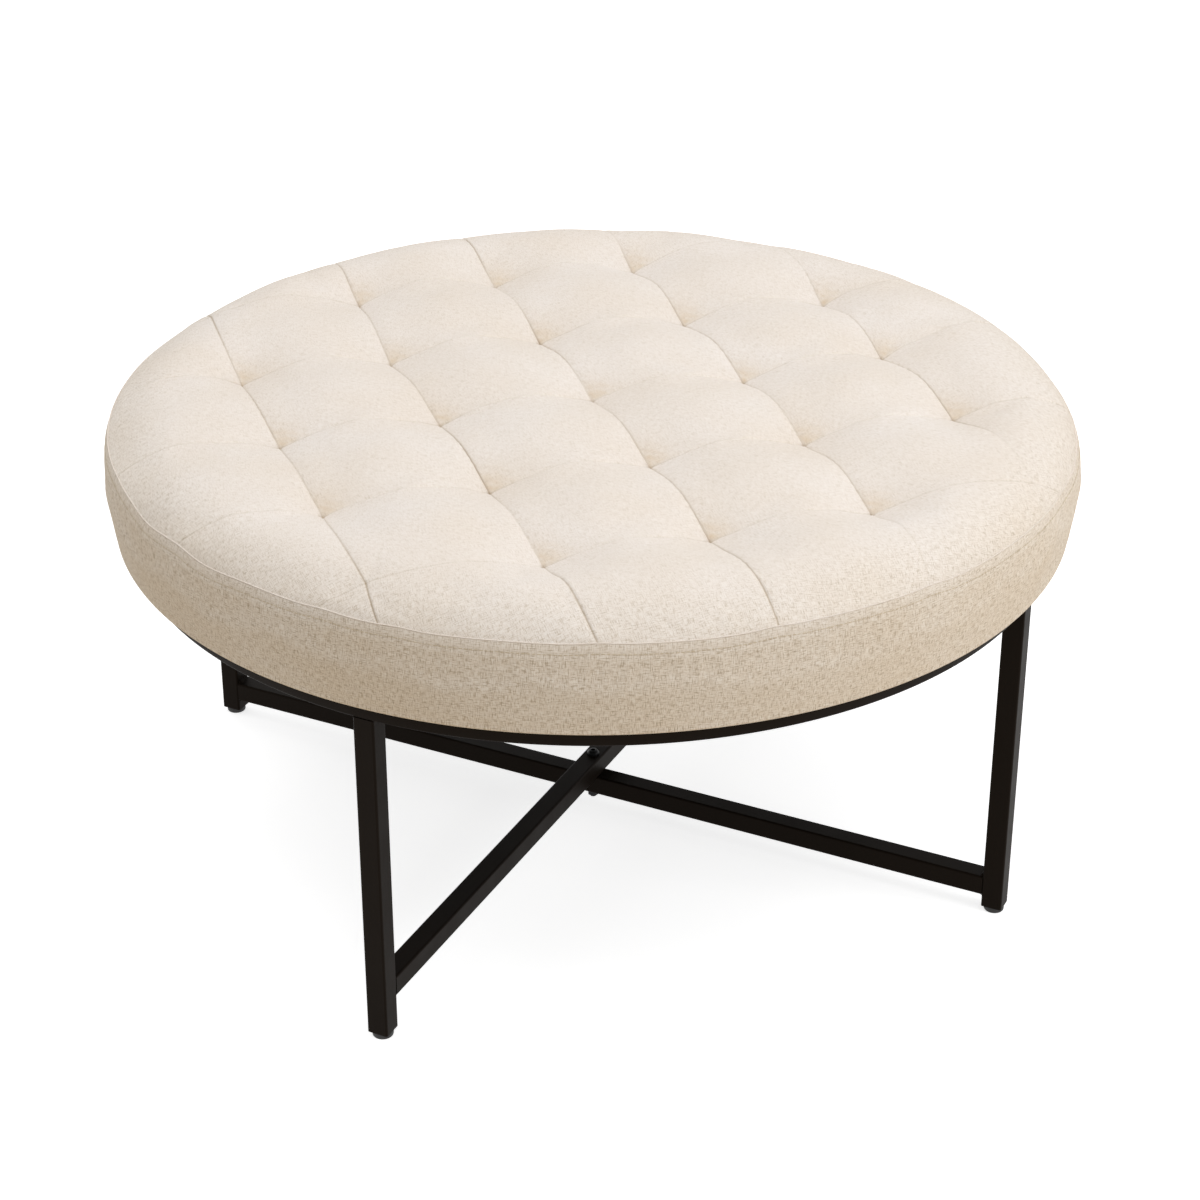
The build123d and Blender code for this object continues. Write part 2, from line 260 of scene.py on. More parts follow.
# %% Camera at the photograph's angle
CAMERA_AT = (1.0468, -2.1290, 1.5119)
CAMERA_PITCH = -28.250
CAMERA_HEADING = 26.008
FOCAL_PIXELS = 2799.19
PICTURE = 1200
PICTURE_CENTRE = (600.456, 594.255)

lens = bpy.data.cameras.new("camera")
lens.sensor_width = 36
lens.lens = lens.sensor_width * FOCAL_PIXELS / PICTURE
lens.shift_x = (PICTURE / 2 - PICTURE_CENTRE[0]) / PICTURE
lens.shift_y = (PICTURE_CENTRE[1] - PICTURE / 2) / PICTURE
lens.clip_start, lens.clip_end = 0.05, 50
camera = bpy.data.objects.new("camera", lens)
camera.location = CAMERA_AT
camera.rotation_euler = (math.radians(90 + CAMERA_PITCH), 0, math.radians(CAMERA_HEADING))
scene.collection.objects.link(camera)
scene.camera = camera
print("lens", round(lens.lens, 2), "mm")

# %% [markdown]
# ## Light and floor
#
# A plain studio: one wide soft lamp overhead, a weaker one from the right, a faint one from the
# left, and a pale room all round. The background is white only for the camera and in reflections.
# What lights the object is a plain level, at which a colour comes out about as it is written. The
# floor throws back a slightly warm light, as a pale wooden floor does, and is seen as white.

# %% Studio
ROOM_LIGHT = 0.40
FLOOR_GLOW = 0.74
FLOOR_REACH = 6.0
LAMP_AIM = np.array([0, 0, 0.4])
WHITE = (1.0, 1.0, 1.0, 1.0)


def seen_directly(tree):
    """1 for rays from the camera, in mirrors and through glass, and 0 for rays that light things."""
    path = add(tree, "LightPath")
    rays = {0: path.outputs["Is Camera Ray"], 1: path.outputs["Is Glossy Ray"]}
    rays = {0: add(tree, "Math", rays, operation="MAXIMUM"), 1: path.outputs["Is Transmission Ray"]}
    return add(tree, "Math", rays, operation="MAXIMUM")


def soft_lamp(name, size, power, place):
    """A square lamp of that size in metres, turned to face the cushion."""
    lamp = bpy.data.lights.new(name, "AREA")
    lamp.shape, lamp.size, lamp.energy = "SQUARE", size, power
    holder = bpy.data.objects.new(name, lamp)
    scene.collection.objects.link(holder)
    away = np.array(place) - LAMP_AIM
    holder.location = place
    tilt = math.atan2(math.hypot(away[0], away[1]), away[2])
    holder.rotation_euler = (tilt, 0, math.atan2(away[0], -away[1]))


soft_lamp("overhead lamp", 5.0, 118, (0.2, 0.0, 4.0))
soft_lamp("right lamp", 1.6, 27, (3.0, 0.0, 1.4))
soft_lamp("left lamp", 1.6, 6, (-3.0, 1.0, 1.4))

room = bpy.data.worlds.new("pale room")
room.use_nodes = True
scene.world = room
level = {"Value": seen_directly(room.node_tree), "To Min": ROOM_LIGHT, "To Max": 1.0}
fill(room.node_tree.nodes["Background"], {"Color": WHITE, "Strength": add(room.node_tree, "MapRange", level)})

floor_paint, tree, shader = finish(
    "matt pale studio floor", {"Roughness": 0.95, "Specular IOR Level": 0.0, "Emission Color": WHITE}
)
seen = seen_directly(tree)
floor_colours = {0: seen, 6: linear("#dccbb0"), 7: linear("#e6e6e6")}
fill(shader, {
    "Base Color": add(tree, "Mix", floor_colours, data_type="RGBA").outputs[2],
    "Emission Strength": add(tree, "Math", {0: seen, 1: FLOOR_GLOW}, operation="MULTIPLY"),
})
floor_mesh = bpy.data.meshes.new("studio_floor")
floor_corners = [(x * FLOOR_REACH, y * FLOOR_REACH, 0) for x, y in ((-1, -1), (1, -1), (1, 1), (-1, 1))]
floor_mesh.from_pydata(floor_corners, [], [(0, 1, 2, 3)])
floor_mesh.materials.append(floor_paint)
floor = bpy.data.objects.new("studio_floor", floor_mesh)
scene.collection.objects.link(floor)

# %% [markdown]
# ## Linen-look cloth
#
# The cover is a plain weave of slubby polyester yarn made to look like linen: cream threads with
# darker, browner ones among them, and a dry, matt surface. A thread is about half a millimetre
# wide, and is drawn half as wide again so that it survives the render. Two noises stretched along
# the warp and the weft give the slubs, and a pair of sine waves gives the over and under of the
# weave. On the shoulder and down the side, which turn away from the overhead light, the cloth is
# painted darker and browner, with more of the brown flecks. This is painted shade, led by a number
# kept on the points from the quiet cloth to a shaded copy of it. Two more numbers darken the cloth:
# one is painted shade on the pillow flank behind each tuft, the other a seam's own darker line
# together with painted shade in its groove, along the folds and in the tuft pits.

# %% Linen finish
THREAD = 0.75 * MM
SLUB_LENGTH = 6.5 * MM
WEAVE_RELIEF = 0.2 * MM


def woven(name, quiet, shade_colours):
    """Plain-woven cloth: noise drawn out along each direction of thread, over a weave of sines.

    quiet is three colours, dark, middle and light, for the cloth as it is, and the other three are
    the same cloth painted darker and browner as shade. A number kept on the points goes from the one
    to the other, as painted shade on the shoulder and the side. The darker of the two noises picks
    the brown flecks.
    """
    made, tree, shader = finish(
        name, {"Roughness": 0.92, "Sheen Weight": 0.12, "Sheen Roughness": 0.5, "Specular IOR Level": 0.25}
    )
    flat = add(tree, "UVMap", uv_map="cloth").outputs[0]
    painted_shade, tuft_shade, seam = [
        add(tree, "Attribute", attribute_name=mark).outputs["Fac"] for mark in ("painted_shade", "tuft_shade", "seam")
    ]
    threads = []
    for scale in ((1 / SLUB_LENGTH, 1 / THREAD, 1), (1 / THREAD, 1 / SLUB_LENGTH, 1)):
        stretched = add(tree, "Mapping", {"Vector": flat, "Scale": scale})
        noise = {"Vector": stretched, "Scale": 1.0, "Detail": 2.0, "Roughness": 0.65}
        threads.append(add(tree, "TexNoise", noise))
    both = add(tree, "Mix", {0: 0.5, 2: threads[0], 3: threads[1]})
    cloths = [
        add(tree, "ValToRGB", {0: both}, zip((0.38, 0.49, 0.60), codes)) for codes in (quiet, shade_colours)
    ]
    # Painted shade: the cloth turns to its darker, browner copy on the shoulder and down the side.
    colour = add(tree, "Mix", {0: painted_shade, 6: cloths[0], 7: cloths[1]}, data_type="RGBA")
    blotch = add(tree, "TexNoise", {"Vector": flat, "Scale": 9.0, "Detail": 3.0})
    clouds = add(tree, "ValToRGB", {0: blotch}, [(0.3, "#faf7f2"), (0.7, "#ffffff")])
    cloudy = {0: 1.0, 6: colour.outputs[2], 7: clouds}
    colour = add(tree, "Mix", cloudy, data_type="RGBA", blend_type="MULTIPLY")
    darker = add(tree, "Math", {0: threads[0], 1: threads[1]}, operation="MINIMUM")
    # Painted shade also raises the share of brown flecks on the shoulder and the side.
    fleck_share = add(tree, "MapRange", {"Value": painted_shade, "To Min": 0.15, "To Max": 0.52})
    flecked = add(
        tree, "MapRange", {"Value": darker, "From Min": 0.44, "From Max": 0.31, "To Max": fleck_share}
    )
    # Mixes in the brown flecks, then painted shade behind the tufts, then the seam's own line with painted
    # shade in its groove.
    for share, code in ((flecked, "#988870"), (tuft_shade, "#d8c4aa"), (seam, "#a08a6b")):
        colour = add(tree, "Mix", {0: share, 6: colour.outputs[2], 7: linear(code)}, data_type="RGBA")
    on_threads = add(tree, "Mapping", {"Vector": flat, "Scale": (1 / THREAD, 1 / THREAD, 1)})
    place = add(tree, "SeparateXYZ", {0: on_threads})
    waves = []
    for direction in (0, 1):
        phase = add(tree, "Math", {0: place.outputs[direction], 1: math.pi}, operation="MULTIPLY")
        waves.append(add(tree, "Math", {0: phase}, operation="SINE"))
    crossing = add(tree, "Math", {0: waves[0], 1: waves[1]}, operation="MULTIPLY")
    height = add(tree, "Math", {0: crossing, 1: 0.25, 2: both}, operation="MULTIPLY_ADD")
    bump = add(tree, "Bump", {"Height": height, "Distance": WEAVE_RELIEF, "Strength": 0.7})
    fill(shader, {"Base Color": colour.outputs[2], "Normal": bump})
    return made


linen = woven(
    "linen-look polyester, plain woven",
    quiet=("#e1d7cb", "#e9e0d8", "#eee7e0"), shade_colours=("#cdbfac", "#e7ddd1", "#f4eee6"),
)

# %% [markdown]
# ## The cover's line
#
# Cut through the middle, the cushion's top is level and turns over a soft shoulder, part of an
# ellipse, down to the boxing seam. A point's distance along this line from the middle is its
# distance on the flat cloth, which is where the seams were drawn and cut.

# %% Profile of the top
SEAT_R = 450.0
WIDEST_Z = 414.5
SEAM_Z = 430.0
SHOULDER_R = 368.0
SHOULDER_Z = 459.6
UNDER_Z = 348.8

level_r = np.linspace(0, SHOULDER_R, 400)
turn = np.linspace(np.pi / 2, math.asin((SEAM_Z - WIDEST_Z) / (SHOULDER_Z - WIDEST_Z)), 200)[1:]
line_r = np.concatenate([level_r, SHOULDER_R + (SEAT_R - SHOULDER_R) * np.cos(turn)])
line_z = np.concatenate([0 * level_r + SHOULDER_Z, WIDEST_Z + (SHOULDER_Z - WIDEST_Z) * np.sin(turn)])
line_path = np.concatenate([[0], np.cumsum(np.hypot(np.diff(line_r), np.diff(line_z)))])
RIM_PATH = line_path[-1]
RIM_R = line_r[-1]
print("cloth from middle to seam:", round(RIM_PATH, 1), "mm, seam radius", round(RIM_R, 1))

# %% [markdown]
# ## Seams and tufts
#
# The top is pieced on a square grid turned by 45 degrees from the legs. Five long seams run from
# rim to rim, and softer folds cross them. At 21 of the crossings a hidden tie pulls the cloth down
# into the filling. Hand work is never exact, so each crossing sits a few millimetres off its grid
# point: a table holds those offsets, a row for each seam and a column for each fold, with the rim
# beyond the first and the last. Between crossings the cloth's offset is blended.

# %% Where the seams and tufts are
PITCH = 148.0
OFFSET_U = np.array([
    [0.0, 0.0, 0.0, 0.0, 0.0, 0.0, 0.0],
    [0.0, -1.0, -2.3, -0.8, 2.4, 0.0, -8.0],
    [3.0, 3.4, -6.0, 0.5, 2.7, 4.1, 6.0],
    [-3.0, -1.6, -2.7, 1.4, 4.0, 2.7, 5.0],
    [-3.0, -3.5, -2.9, 1.4, 2.3, 3.4, 3.0],
    [5.0, 2.0, -1.0, -0.7, 4.1, 10.0, 18.0],
    [0.0, 0.0, 0.0, 0.0, 0.0, 0.0, 0.0],
])
OFFSET_V = np.array([
    [0.0, 0.0, 0.0, 6.0, 2.0, -4.0, 0.0],
    [0.0, -2.0, 0.2, 0.6, -1.3, 0.0, 0.0],
    [0.0, -4.1, 1.5, 1.3, 0.7, 0.0, 0.0],
    [0.0, -6.6, -1.9, -5.0, -2.6, 1.4, 0.0],
    [0.0, 0.2, 1.7, 2.1, 0.2, -0.4, 0.0],
    [0.0, -4.0, -2.2, -6.0, -4.5, 4.0, 0.0],
    [0.0, 0.0, 0.0, -35.0, 8.0, 8.0, 0.0],
])
TUFTS = np.array([(i, j) for i in range(-2, 3) for j in range(-2, 3) if abs(i) + abs(j) < 4])
TUFT_DEPTH = 21.2
SEAM_SAG = 9.2
FOLD_SAG = 4.6
STEEP = 0.33
BOW_U = 3.3
BOW_V = 4.0
RIM_BELT = 40.0
SAG_RUN_IN = 90.0
SEAM_SAG_AT_RIM = 0.07
FOLD_SAG_AT_RIM = 0.1
TOP_LUMPS = 0.6
print("tufts:", len(TUFTS))


def offset_at(table, u, v):
    """The table's value at a place on the cloth, blended between the four nearest crossings."""
    across = np.clip(u / PITCH + 3, 0, 5.999)
    along = np.clip(v / PITCH + 3, 0, 5.999)
    i, j = across.astype(int), along.astype(int)
    a, b = across - i, along - j
    near = table[i, j] * (1 - a) + table[i + 1, j] * a
    far = table[i, j + 1] * (1 - a) + table[i + 1, j + 1] * a
    return near * (1 - b) + far * b


# %% [markdown]
# ## Top panel
#
# A pillow between four tufts is full in its middle, sags a little towards its four edges, and dives
# at its corners, where the ties pull. Measured on the photograph, the long seams sag 9 mm midway
# between tufts, the cross folds 5 mm, and the tufts lie 21 mm below the level top. A fall is 1 on
# a seam and goes to nothing in a pillow's middle: a steep fall has a crease on the seam itself, and
# a gentle one is a cosine, without one. The sag is then the long seam's times a fall that is a third
# steep, plus the fold's times a gentle one, plus what the tuft is deeper than both, times the two
# steep falls. Near the rim both sags fade, which keeps the cushion's outline smooth. The seams also
# bow outwards between the tufts by 3 to 4 mm.
#
# The grid follows the seams, with its lines drawn closer beside each of them, so that a crease can
# be sharp without many faces elsewhere. Points past the boxing seam are drawn back onto it.

# %% Helpers for the top panel
def grid_lines():
    """Places of grid lines across the cloth in mm: close beside each seam, even in between."""
    beside = np.array([0.0, 0.8, 1.8, 3.2, 5.2])
    beside = np.concatenate([-beside[:0:-1], beside])
    seams = PITCH * np.arange(-2, 3)
    between = np.linspace(5.2, PITCH - 5.2, 35)[1:-1]
    beyond = np.linspace(2 * PITCH + 5.2, RIM_PATH + 22, 42)[1:]
    return np.sort(np.concatenate(
        [seam + beside for seam in seams] + [seam + between for seam in seams[:-1]] + [beyond, -beyond]
    ))


def fall(distance):
    """1 on a seam, curving to 0 in the pillow's middle: one minus the distance's share, squared."""
    return np.clip(1 - distance / (PITCH / 2), 0, 1) ** 2


def gentle_fall(distance):
    """1 on a seam, going to 0 in the pillow's middle: half of one plus a cosine."""
    return (1 + np.cos(np.pi * np.clip(distance / (PITCH / 2), 0, 1))) / 2


def bell(distance, width):
    """1 at no distance, and e to the minus square of distance over width elsewhere."""
    return np.exp(-((distance / width) ** 2))


def eased(share):
    """0 up to a share of 0 and 1 from a share of 1, with a smooth step between."""
    share = np.clip(share, 0, 1)
    return share * share * (3 - 2 * share)


def lumps(u, v, size, seed, waves=7):
    """Slow unevenness from -1 to 1: the mean of a few sine waves in random directions."""
    random = np.random.default_rng(seed)
    heading, phase = random.uniform(0, 2 * np.pi, (2, waves))
    length = size * random.uniform(0.7, 1.6, waves)
    phase_at = [
        np.sin(2 * np.pi * (u * np.cos(h) + v * np.sin(h)) / s + p)
        for h, s, p in zip(heading, length, phase)
    ]
    return sum(phase_at) / waves * 1.8


def seam_distance(place):
    """The distance to the nearest of the five seams."""
    return np.abs(place - np.clip(np.round(place / PITCH), -2, 2) * PITCH)


# %% Shape of the top panel
lines = grid_lines()
U, V = (grid.ravel() for grid in np.meshgrid(lines, lines, indexing="ij"))
between_folds = np.abs(np.sin(np.pi * V / PITCH))
between_lines = np.abs(np.sin(np.pi * U / PITCH))
place_u = U + offset_at(OFFSET_U, U, V) + BOW_U * U / (2 * PITCH) * between_folds
place_v = V + offset_at(OFFSET_V, U, V) + BOW_V * V / (2 * PITCH) * between_lines
path = np.hypot(place_u, place_v)
inside = path < RIM_PATH - 0.4

# Keep each quad with a corner inside, and draw its other corners back onto the seam
count = len(lines)
first = (np.arange(count - 1)[:, None] * count + np.arange(count - 1)).ravel()
quads = np.stack([first, first + 1, first + count + 1, first + count], 1)
used, quads = np.unique(quads[inside[quads].any(1)], return_inverse=True)
quads = quads.reshape(-1, 4)
U, V, path, inside = U[used], V[used], path[used], inside[used]
drawn_in = np.where(inside, 1, RIM_PATH / path)
place_u, place_v, path = place_u[used] * drawn_in, place_v[used] * drawn_in, path * drawn_in
heading_x = (place_u + place_v) / math.sqrt(2) / np.maximum(path, 1e-9)
heading_y = (place_u - place_v) / math.sqrt(2) / np.maximum(path, 1e-9)
print("top panel points:", len(U), "faces:", len(quads))

slope_r = np.gradient(line_r, line_path)
slope_z = np.gradient(line_z, line_path)


def on_profile(rise):
    """The top's points: the profile at each point's path, turned to its heading, moved out by rise."""
    radius = np.interp(path, line_path, line_r) - rise * np.interp(path, line_path, slope_z)
    height = np.interp(path, line_path, line_z) + rise * np.interp(path, line_path, slope_r)
    return np.stack([radius * heading_x, radius * heading_y, height], 1)


tuft_u, tuft_v = (TUFTS * PITCH).T
near_u = np.abs(U[:, None] - tuft_u)
near_v = np.abs(V[:, None] - tuft_v)
line_seam, cross_seam = seam_distance(U), seam_distance(V)
line_fall, cross_fall = fall(line_seam), fall(cross_seam)
to_rim = RIM_PATH - path
tufted = (np.maximum(near_u, near_v) < PITCH / 2).any(1)
inner = eased((to_rim - RIM_BELT) / SAG_RUN_IN)
seam_sag = SEAM_SAG * (SEAM_SAG_AT_RIM + (1 - SEAM_SAG_AT_RIM) * inner)
fold_sag = FOLD_SAG * (FOLD_SAG_AT_RIM + (1 - FOLD_SAG_AT_RIM) * inner)
soft_rise = (
    -seam_sag * (STEEP * line_fall + (1 - STEEP) * gentle_fall(line_seam))
    - fold_sag * gentle_fall(cross_seam)
    - tufted * (TUFT_DEPTH - seam_sag - fold_sag) * line_fall * cross_fall
    + TOP_LUMPS * lumps(U, V, 90, 3)
) * eased(to_rim / RIM_BELT)

# %% [markdown]
# ## Filling the pillows
#
# Cloth that is pulled down at a tie and pushed up by foam takes a shape of its own between the two,
# with small folds where it has more length than it needs. The cloth simulation finds that shape:
# the tufts and the boxing seam are pinned, a gentle pressure from inside stands for the filling,
# and the cloth starts a hair too large. How far a point may go is capped, so the top keeps its
# measured form.

# %% Simulate the filling
PRESSURE = 2.0
GROWN_SHARE = 0.004
TUFT_PIN_R = 4.0
RIM_PIN = 3.0


def puff(mesh, pinned, cap, frames):
    """Swells a mesh with the cloth solver and caps how far each point goes, in mm."""
    start = points_of(mesh)
    helper = bpy.data.objects.new(mesh.name + "_sim", mesh)
    scene.collection.objects.link(helper)
    group = helper.vertex_groups.new(name="pinned")
    for weight in np.unique(np.round(pinned, 1)):
        chosen = np.flatnonzero(np.round(pinned, 1) == weight)
        if weight > 0:
            group.add(chosen.tolist(), float(weight), "REPLACE")
    cloth = helper.modifiers.new("cloth", "CLOTH")
    for name, value in {
        "quality": 5, "mass": 0.3, "tension_stiffness": 15, "compression_stiffness": 15,
        "shear_stiffness": 5, "bending_stiffness": 0.6, "use_pressure": True,
        "uniform_pressure_force": PRESSURE, "shrink_min": -GROWN_SHARE, "vertex_group_mass": group.name,
    }.items():
        setattr(cloth.settings, name, value)
    cloth.settings.effector_weights.gravity = 0
    for number in range(1, frames + 1):
        scene.frame_set(number)
    shown = helper.evaluated_get(bpy.context.evaluated_depsgraph_get())
    moved = points_of(shown.data) - start
    scene.frame_set(1)
    bpy.data.objects.remove(helper)
    distance = np.linalg.norm(moved, axis=1)
    limited = cap * np.tanh(distance / cap)
    print(mesh.name, "swelled by up to", round(distance.max(), 1), "mm, kept to", round(limited.max(), 1))
    return start + moved * (limited / np.maximum(distance, 1e-9))[:, None]


top_mesh = mesh_of("top_panel", on_profile(soft_rise), quads.tolist())
tuft_distance = np.hypot(near_u, near_v).min(1)
pins = np.where((tuft_distance < TUFT_PIN_R) | (to_rim < RIM_PIN), 1.0, np.where(line_seam < 1, 0.3, 0.0))
top_points = puff(top_mesh, pins, cap=2.2, frames=12)

# %% [markdown]
# ## Seams, folds and puckers
#
# What is narrower than the simulation can hold comes after it. A seam has a sharp little groove at
# its bottom, the cross folds have a softer one, and round each tuft the cloth gathers into a few
# small pleats that die out within a couple of centimetres. On the pillow flank behind each tuft,
# which turns away from the light, the cloth is later painted darker and browner: painted shade.
# The last runs of the seams on the right are pressed flat and hardly show.

# %% Fine relief of the top
PLEAT_RISE = 0.7
PLEAT_REACH = 13.0
PIT_DEPTH = 1.2
PIT_R = 2.5
GROOVE_WIDTH = 0.8
SEAM_GROOVE = 0.6
FOLD_GROOVE = 0.35
VALLEY_WIDTH = 5.0
SEAM_VALLEY = 0.4
FOLD_VALLEY = 0.3
TUFT_REACH = 34.0
RIM_REACH = 120.0
PRESSED_SHARE = 0.8

to_tuft = bell(tuft_distance, TUFT_REACH)
near_rim = np.clip(1 - to_rim / RIM_REACH, 0, 1)
fold_strength = np.clip(0.25 + 0.55 * to_tuft + 0.9 * near_rim, 0, 1.2)
pressed_flat = PRESSED_SHARE * eased((U - 60) / 80) * eased((130 - to_rim) / 60)
seam_strength = np.clip(0.6 + 0.4 * lumps(U, V, 220, 14) + 0.5 * near_rim, 0.25, 1.2) * (1 - pressed_flat)
valley = SEAM_VALLEY * np.exp(-line_seam / VALLEY_WIDTH)
valley += FOLD_VALLEY * np.exp(-cross_seam / VALLEY_WIDTH) * fold_strength
groove = SEAM_GROOVE * seam_strength * bell(line_seam, GROOVE_WIDTH)
groove += FOLD_GROOVE * fold_strength * bell(cross_seam, GROOVE_WIDTH)

nearest = np.hypot(near_u, near_v).argmin(1)
beside_tuft, ahead_of_tuft = U - tuft_u[nearest], V - tuft_v[nearest]
random = np.random.default_rng(11)
pleats = random.integers(5, 9, len(TUFTS))[nearest]
pleat_phase = random.uniform(0, 2 * np.pi, len(TUFTS))[nearest]
pleat_turn = pleats * np.arctan2(ahead_of_tuft, beside_tuft) + pleat_phase
pucker = PLEAT_RISE * np.sin(pleat_turn + 0.6 * lumps(U, V, 30, 5))
pucker *= np.exp(-tuft_distance / PLEAT_REACH) * np.clip(tuft_distance / 5, 0, 1)
pit = PIT_DEPTH * bell(tuft_distance, PIT_R)

fine_rise = (pucker - valley - groove - pit) * np.clip(to_rim / 6, 0, 1)
top_points += (on_profile(soft_rise + 1) - on_profile(soft_rise)) * fine_rise[:, None]

# %% [markdown]
# ## Boxing seam
#
# The top is sewn to the side band along the boxing seam. The seam isn't a perfect circle: it
# wavers by about a millimetre, and where a seam of the top runs into it, it is pulled up a little.

# %% The line of the boxing seam
SEAM_ENDS_U = np.array([-296, -145, -3, 145, 301, -288, -138, 1, 152, 314, -444, -414, -326, 424, 411, 326])
SEAM_ENDS_V = np.array([-307, -396, -423, -391, -209, 351, 418, 447, 420, 266, 6, 150, 292, -35, 156, 304])
SEAM_END_BEARINGS = np.arctan2(SEAM_ENDS_U - SEAM_ENDS_V, SEAM_ENDS_U + SEAM_ENDS_V)
SEAM_PULL = 1.3
SEAM_PULL_WIDTH = 16.0
WAVE_BEARINGS = np.radians([237.0, 250.0, 323.0])
WAVE_RISES = np.array([-4.5, -3.0, 3.0])
WAVE_SPREADS = np.radians([4.0, 4.5, 15.0])
END_RISE = 5.0


def bearing_gap(bearing, others):
    """The angle from each of the others to a bearing, between minus and plus a half turn."""
    return (bearing[..., None] - others + np.pi) % (2 * np.pi) - np.pi


def seam_lift(bearing):
    """How far the boxing seam is above its plain circle in mm: slow waves, and bells of three kinds.

    A narrow bell stands for the pull at each seam's end and for each dip or rise measured on the
    photograph, and a wide one for the rise at the far left and the dip at the far right.
    """
    waver = 0.45 * np.sin(5 * bearing + 1.0) + 0.35 * np.sin(11 * bearing + 2.0) + 0.2 * np.sin(23 * bearing)
    pull = SEAM_PULL * bell(bearing_gap(bearing, SEAM_END_BEARINGS) * RIM_R, SEAM_PULL_WIDTH).sum(-1)
    waves = (WAVE_RISES * bell(bearing_gap(bearing, WAVE_BEARINGS), WAVE_SPREADS)).sum(-1)
    # 1 at the picture's far right, a bearing of 33 degrees, and 0 at its far left
    right = np.sin(bearing / 2 + 1.28) ** 2
    return waver + pull + waves - END_RISE * right**12 + END_RISE * (1 - right) ** 6


top_points[:, 2] += seam_lift(np.arctan2(heading_y, heading_x)) * np.clip(1 - to_rim / 30, 0, 1) ** 2
move_points(top_mesh, top_points)

# %% Close the panel underneath
FOAM_R = 441.0
FOAM_EDGE = 5.0
FOAM_TOP = 433.9


def close_underneath(top, rim, rings):
    """Adds rings of points under a panel's rim and a last point in the middle, and their faces.

    The rim's points are taken in order of bearing, and each ring repeats them at its own radius
    and height, so the skirt of quads between rings closes the panel with few faces.
    """
    rim = rim[np.argsort(np.arctan2(top[rim, 1], top[rim, 0]))]
    bearing = np.arctan2(top[rim, 1], top[rim, 0])
    names = [rim] + [len(top) + len(rim) * n + np.arange(len(rim)) for n in range(len(rings))]
    faces = []
    for outer, inner in zip(names, names[1:]):
        faces += np.stack([outer, np.roll(outer, -1), np.roll(inner, -1), inner], 1).tolist()
    middle = np.full(len(rim), len(top) + len(rim) * len(rings))
    faces += np.stack([names[-1], np.roll(names[-1], -1), middle], 1).tolist()
    points = [top, *(polar(radius, bearing, height) for radius, height in rings), [[0, 0, rings[-1][1]]]]
    return np.concatenate(points), faces


all_points, under_faces = close_underneath(
    points_of(top_mesh), np.flatnonzero(~inside), [(FOAM_R, SEAM_Z), (FOAM_R - FOAM_EDGE, FOAM_TOP)]
)
bpy.data.meshes.remove(top_mesh)
top_mesh = mesh_of("top_panel", all_points, quads.tolist() + under_faces)
flat = np.concatenate([np.stack([U, V], 1), all_points[len(U):, :2]])
corners = np.empty(len(top_mesh.loops), int)
top_mesh.loops.foreach_get("vertex_index", corners)
top_mesh.uv_layers.new(name="cloth").uv.foreach_set("vector", (flat[corners] * MM).ravel())

# %% Painted shade at the seams, tufts and shoulder, and finish the panel
MARK_WIDTH = 0.7
TUFT_SHADE_BESIDE = 18.0
TUFT_SHADE_BEHIND = 26.0

# The seam's own darker line, with painted shade in its groove, along the folds and in each tuft pit.
seam_line_and_shade = np.clip(
    0.7 * seam_strength * bell(line_seam, MARK_WIDTH) + 0.3 * fold_strength * bell(cross_seam, MARK_WIDTH)
    + 0.4 * bell(tuft_distance, PIT_R), 0, 1,
)
# Painted shade on the pillow flank behind and beside each tuft, on one side only, where the flank turns away
# from the light.
beside, behind = beside_tuft / TUFT_SHADE_BESIDE, -ahead_of_tuft / TUFT_SHADE_BEHIND
tuft_shade_mark = np.clip(
    0.75 * np.exp(-beside**2 - behind**2) * eased(beside * 4 + 0.4) * eased(behind * 4 + 0.4)
    * (0.8 + 0.4 * lumps(U, V, 9, 17)), 0, 1,
)
# Painted shade on the shoulder, darker and browner towards the rim, and on the flank behind each tuft.
painted_shade = np.maximum(0.5 * eased(1 - to_rim / 75), 0.6 * tuft_shade_mark)
hidden = np.zeros(len(all_points) - len(U))
for name, values in (("seam", seam_line_and_shade), ("tuft_shade", tuft_shade_mark), ("painted_shade", painted_shade)):
    note_on_points(top_mesh, name, np.concatenate([values, hidden]))
work = bmesh.new()
work.from_mesh(top_mesh)
bmesh.ops.recalc_face_normals(work, faces=work.faces)
work.to_mesh(top_mesh)
work.free()
top_panel = piece(top_mesh, linen, ["tufted_top"], sharp=70)

# %% [markdown]
# ## Boxing band
#
# The side is one long strip of the same cloth over the edge of the foam. Foam pushes it out a
# little between the seam and the lower edge, where it turns under the board and is held there. Its
# profile is the cubic curve through four measured points, then a small round and the strip that is
# folded under, which hangs a little past the ring's edge. The seam allowances are turned down behind
# its top 8 mm and stitched through there: that strip stands a little proud, and the topstitching
# below it lies in a shallow groove with fine puckers.

# %% Profile of the band
BAND_WALL = 1.5
FOLD_R = 412.0
LOWER_R = 445.0
EDGE_ROUND = 3.0
EDGE_SAG = 2.5
RING_EDGE_R = 432.0
MIDDLE_TUCK = 1.25
TURNED_UP = 2.2
STITCH_DROP = 8.0

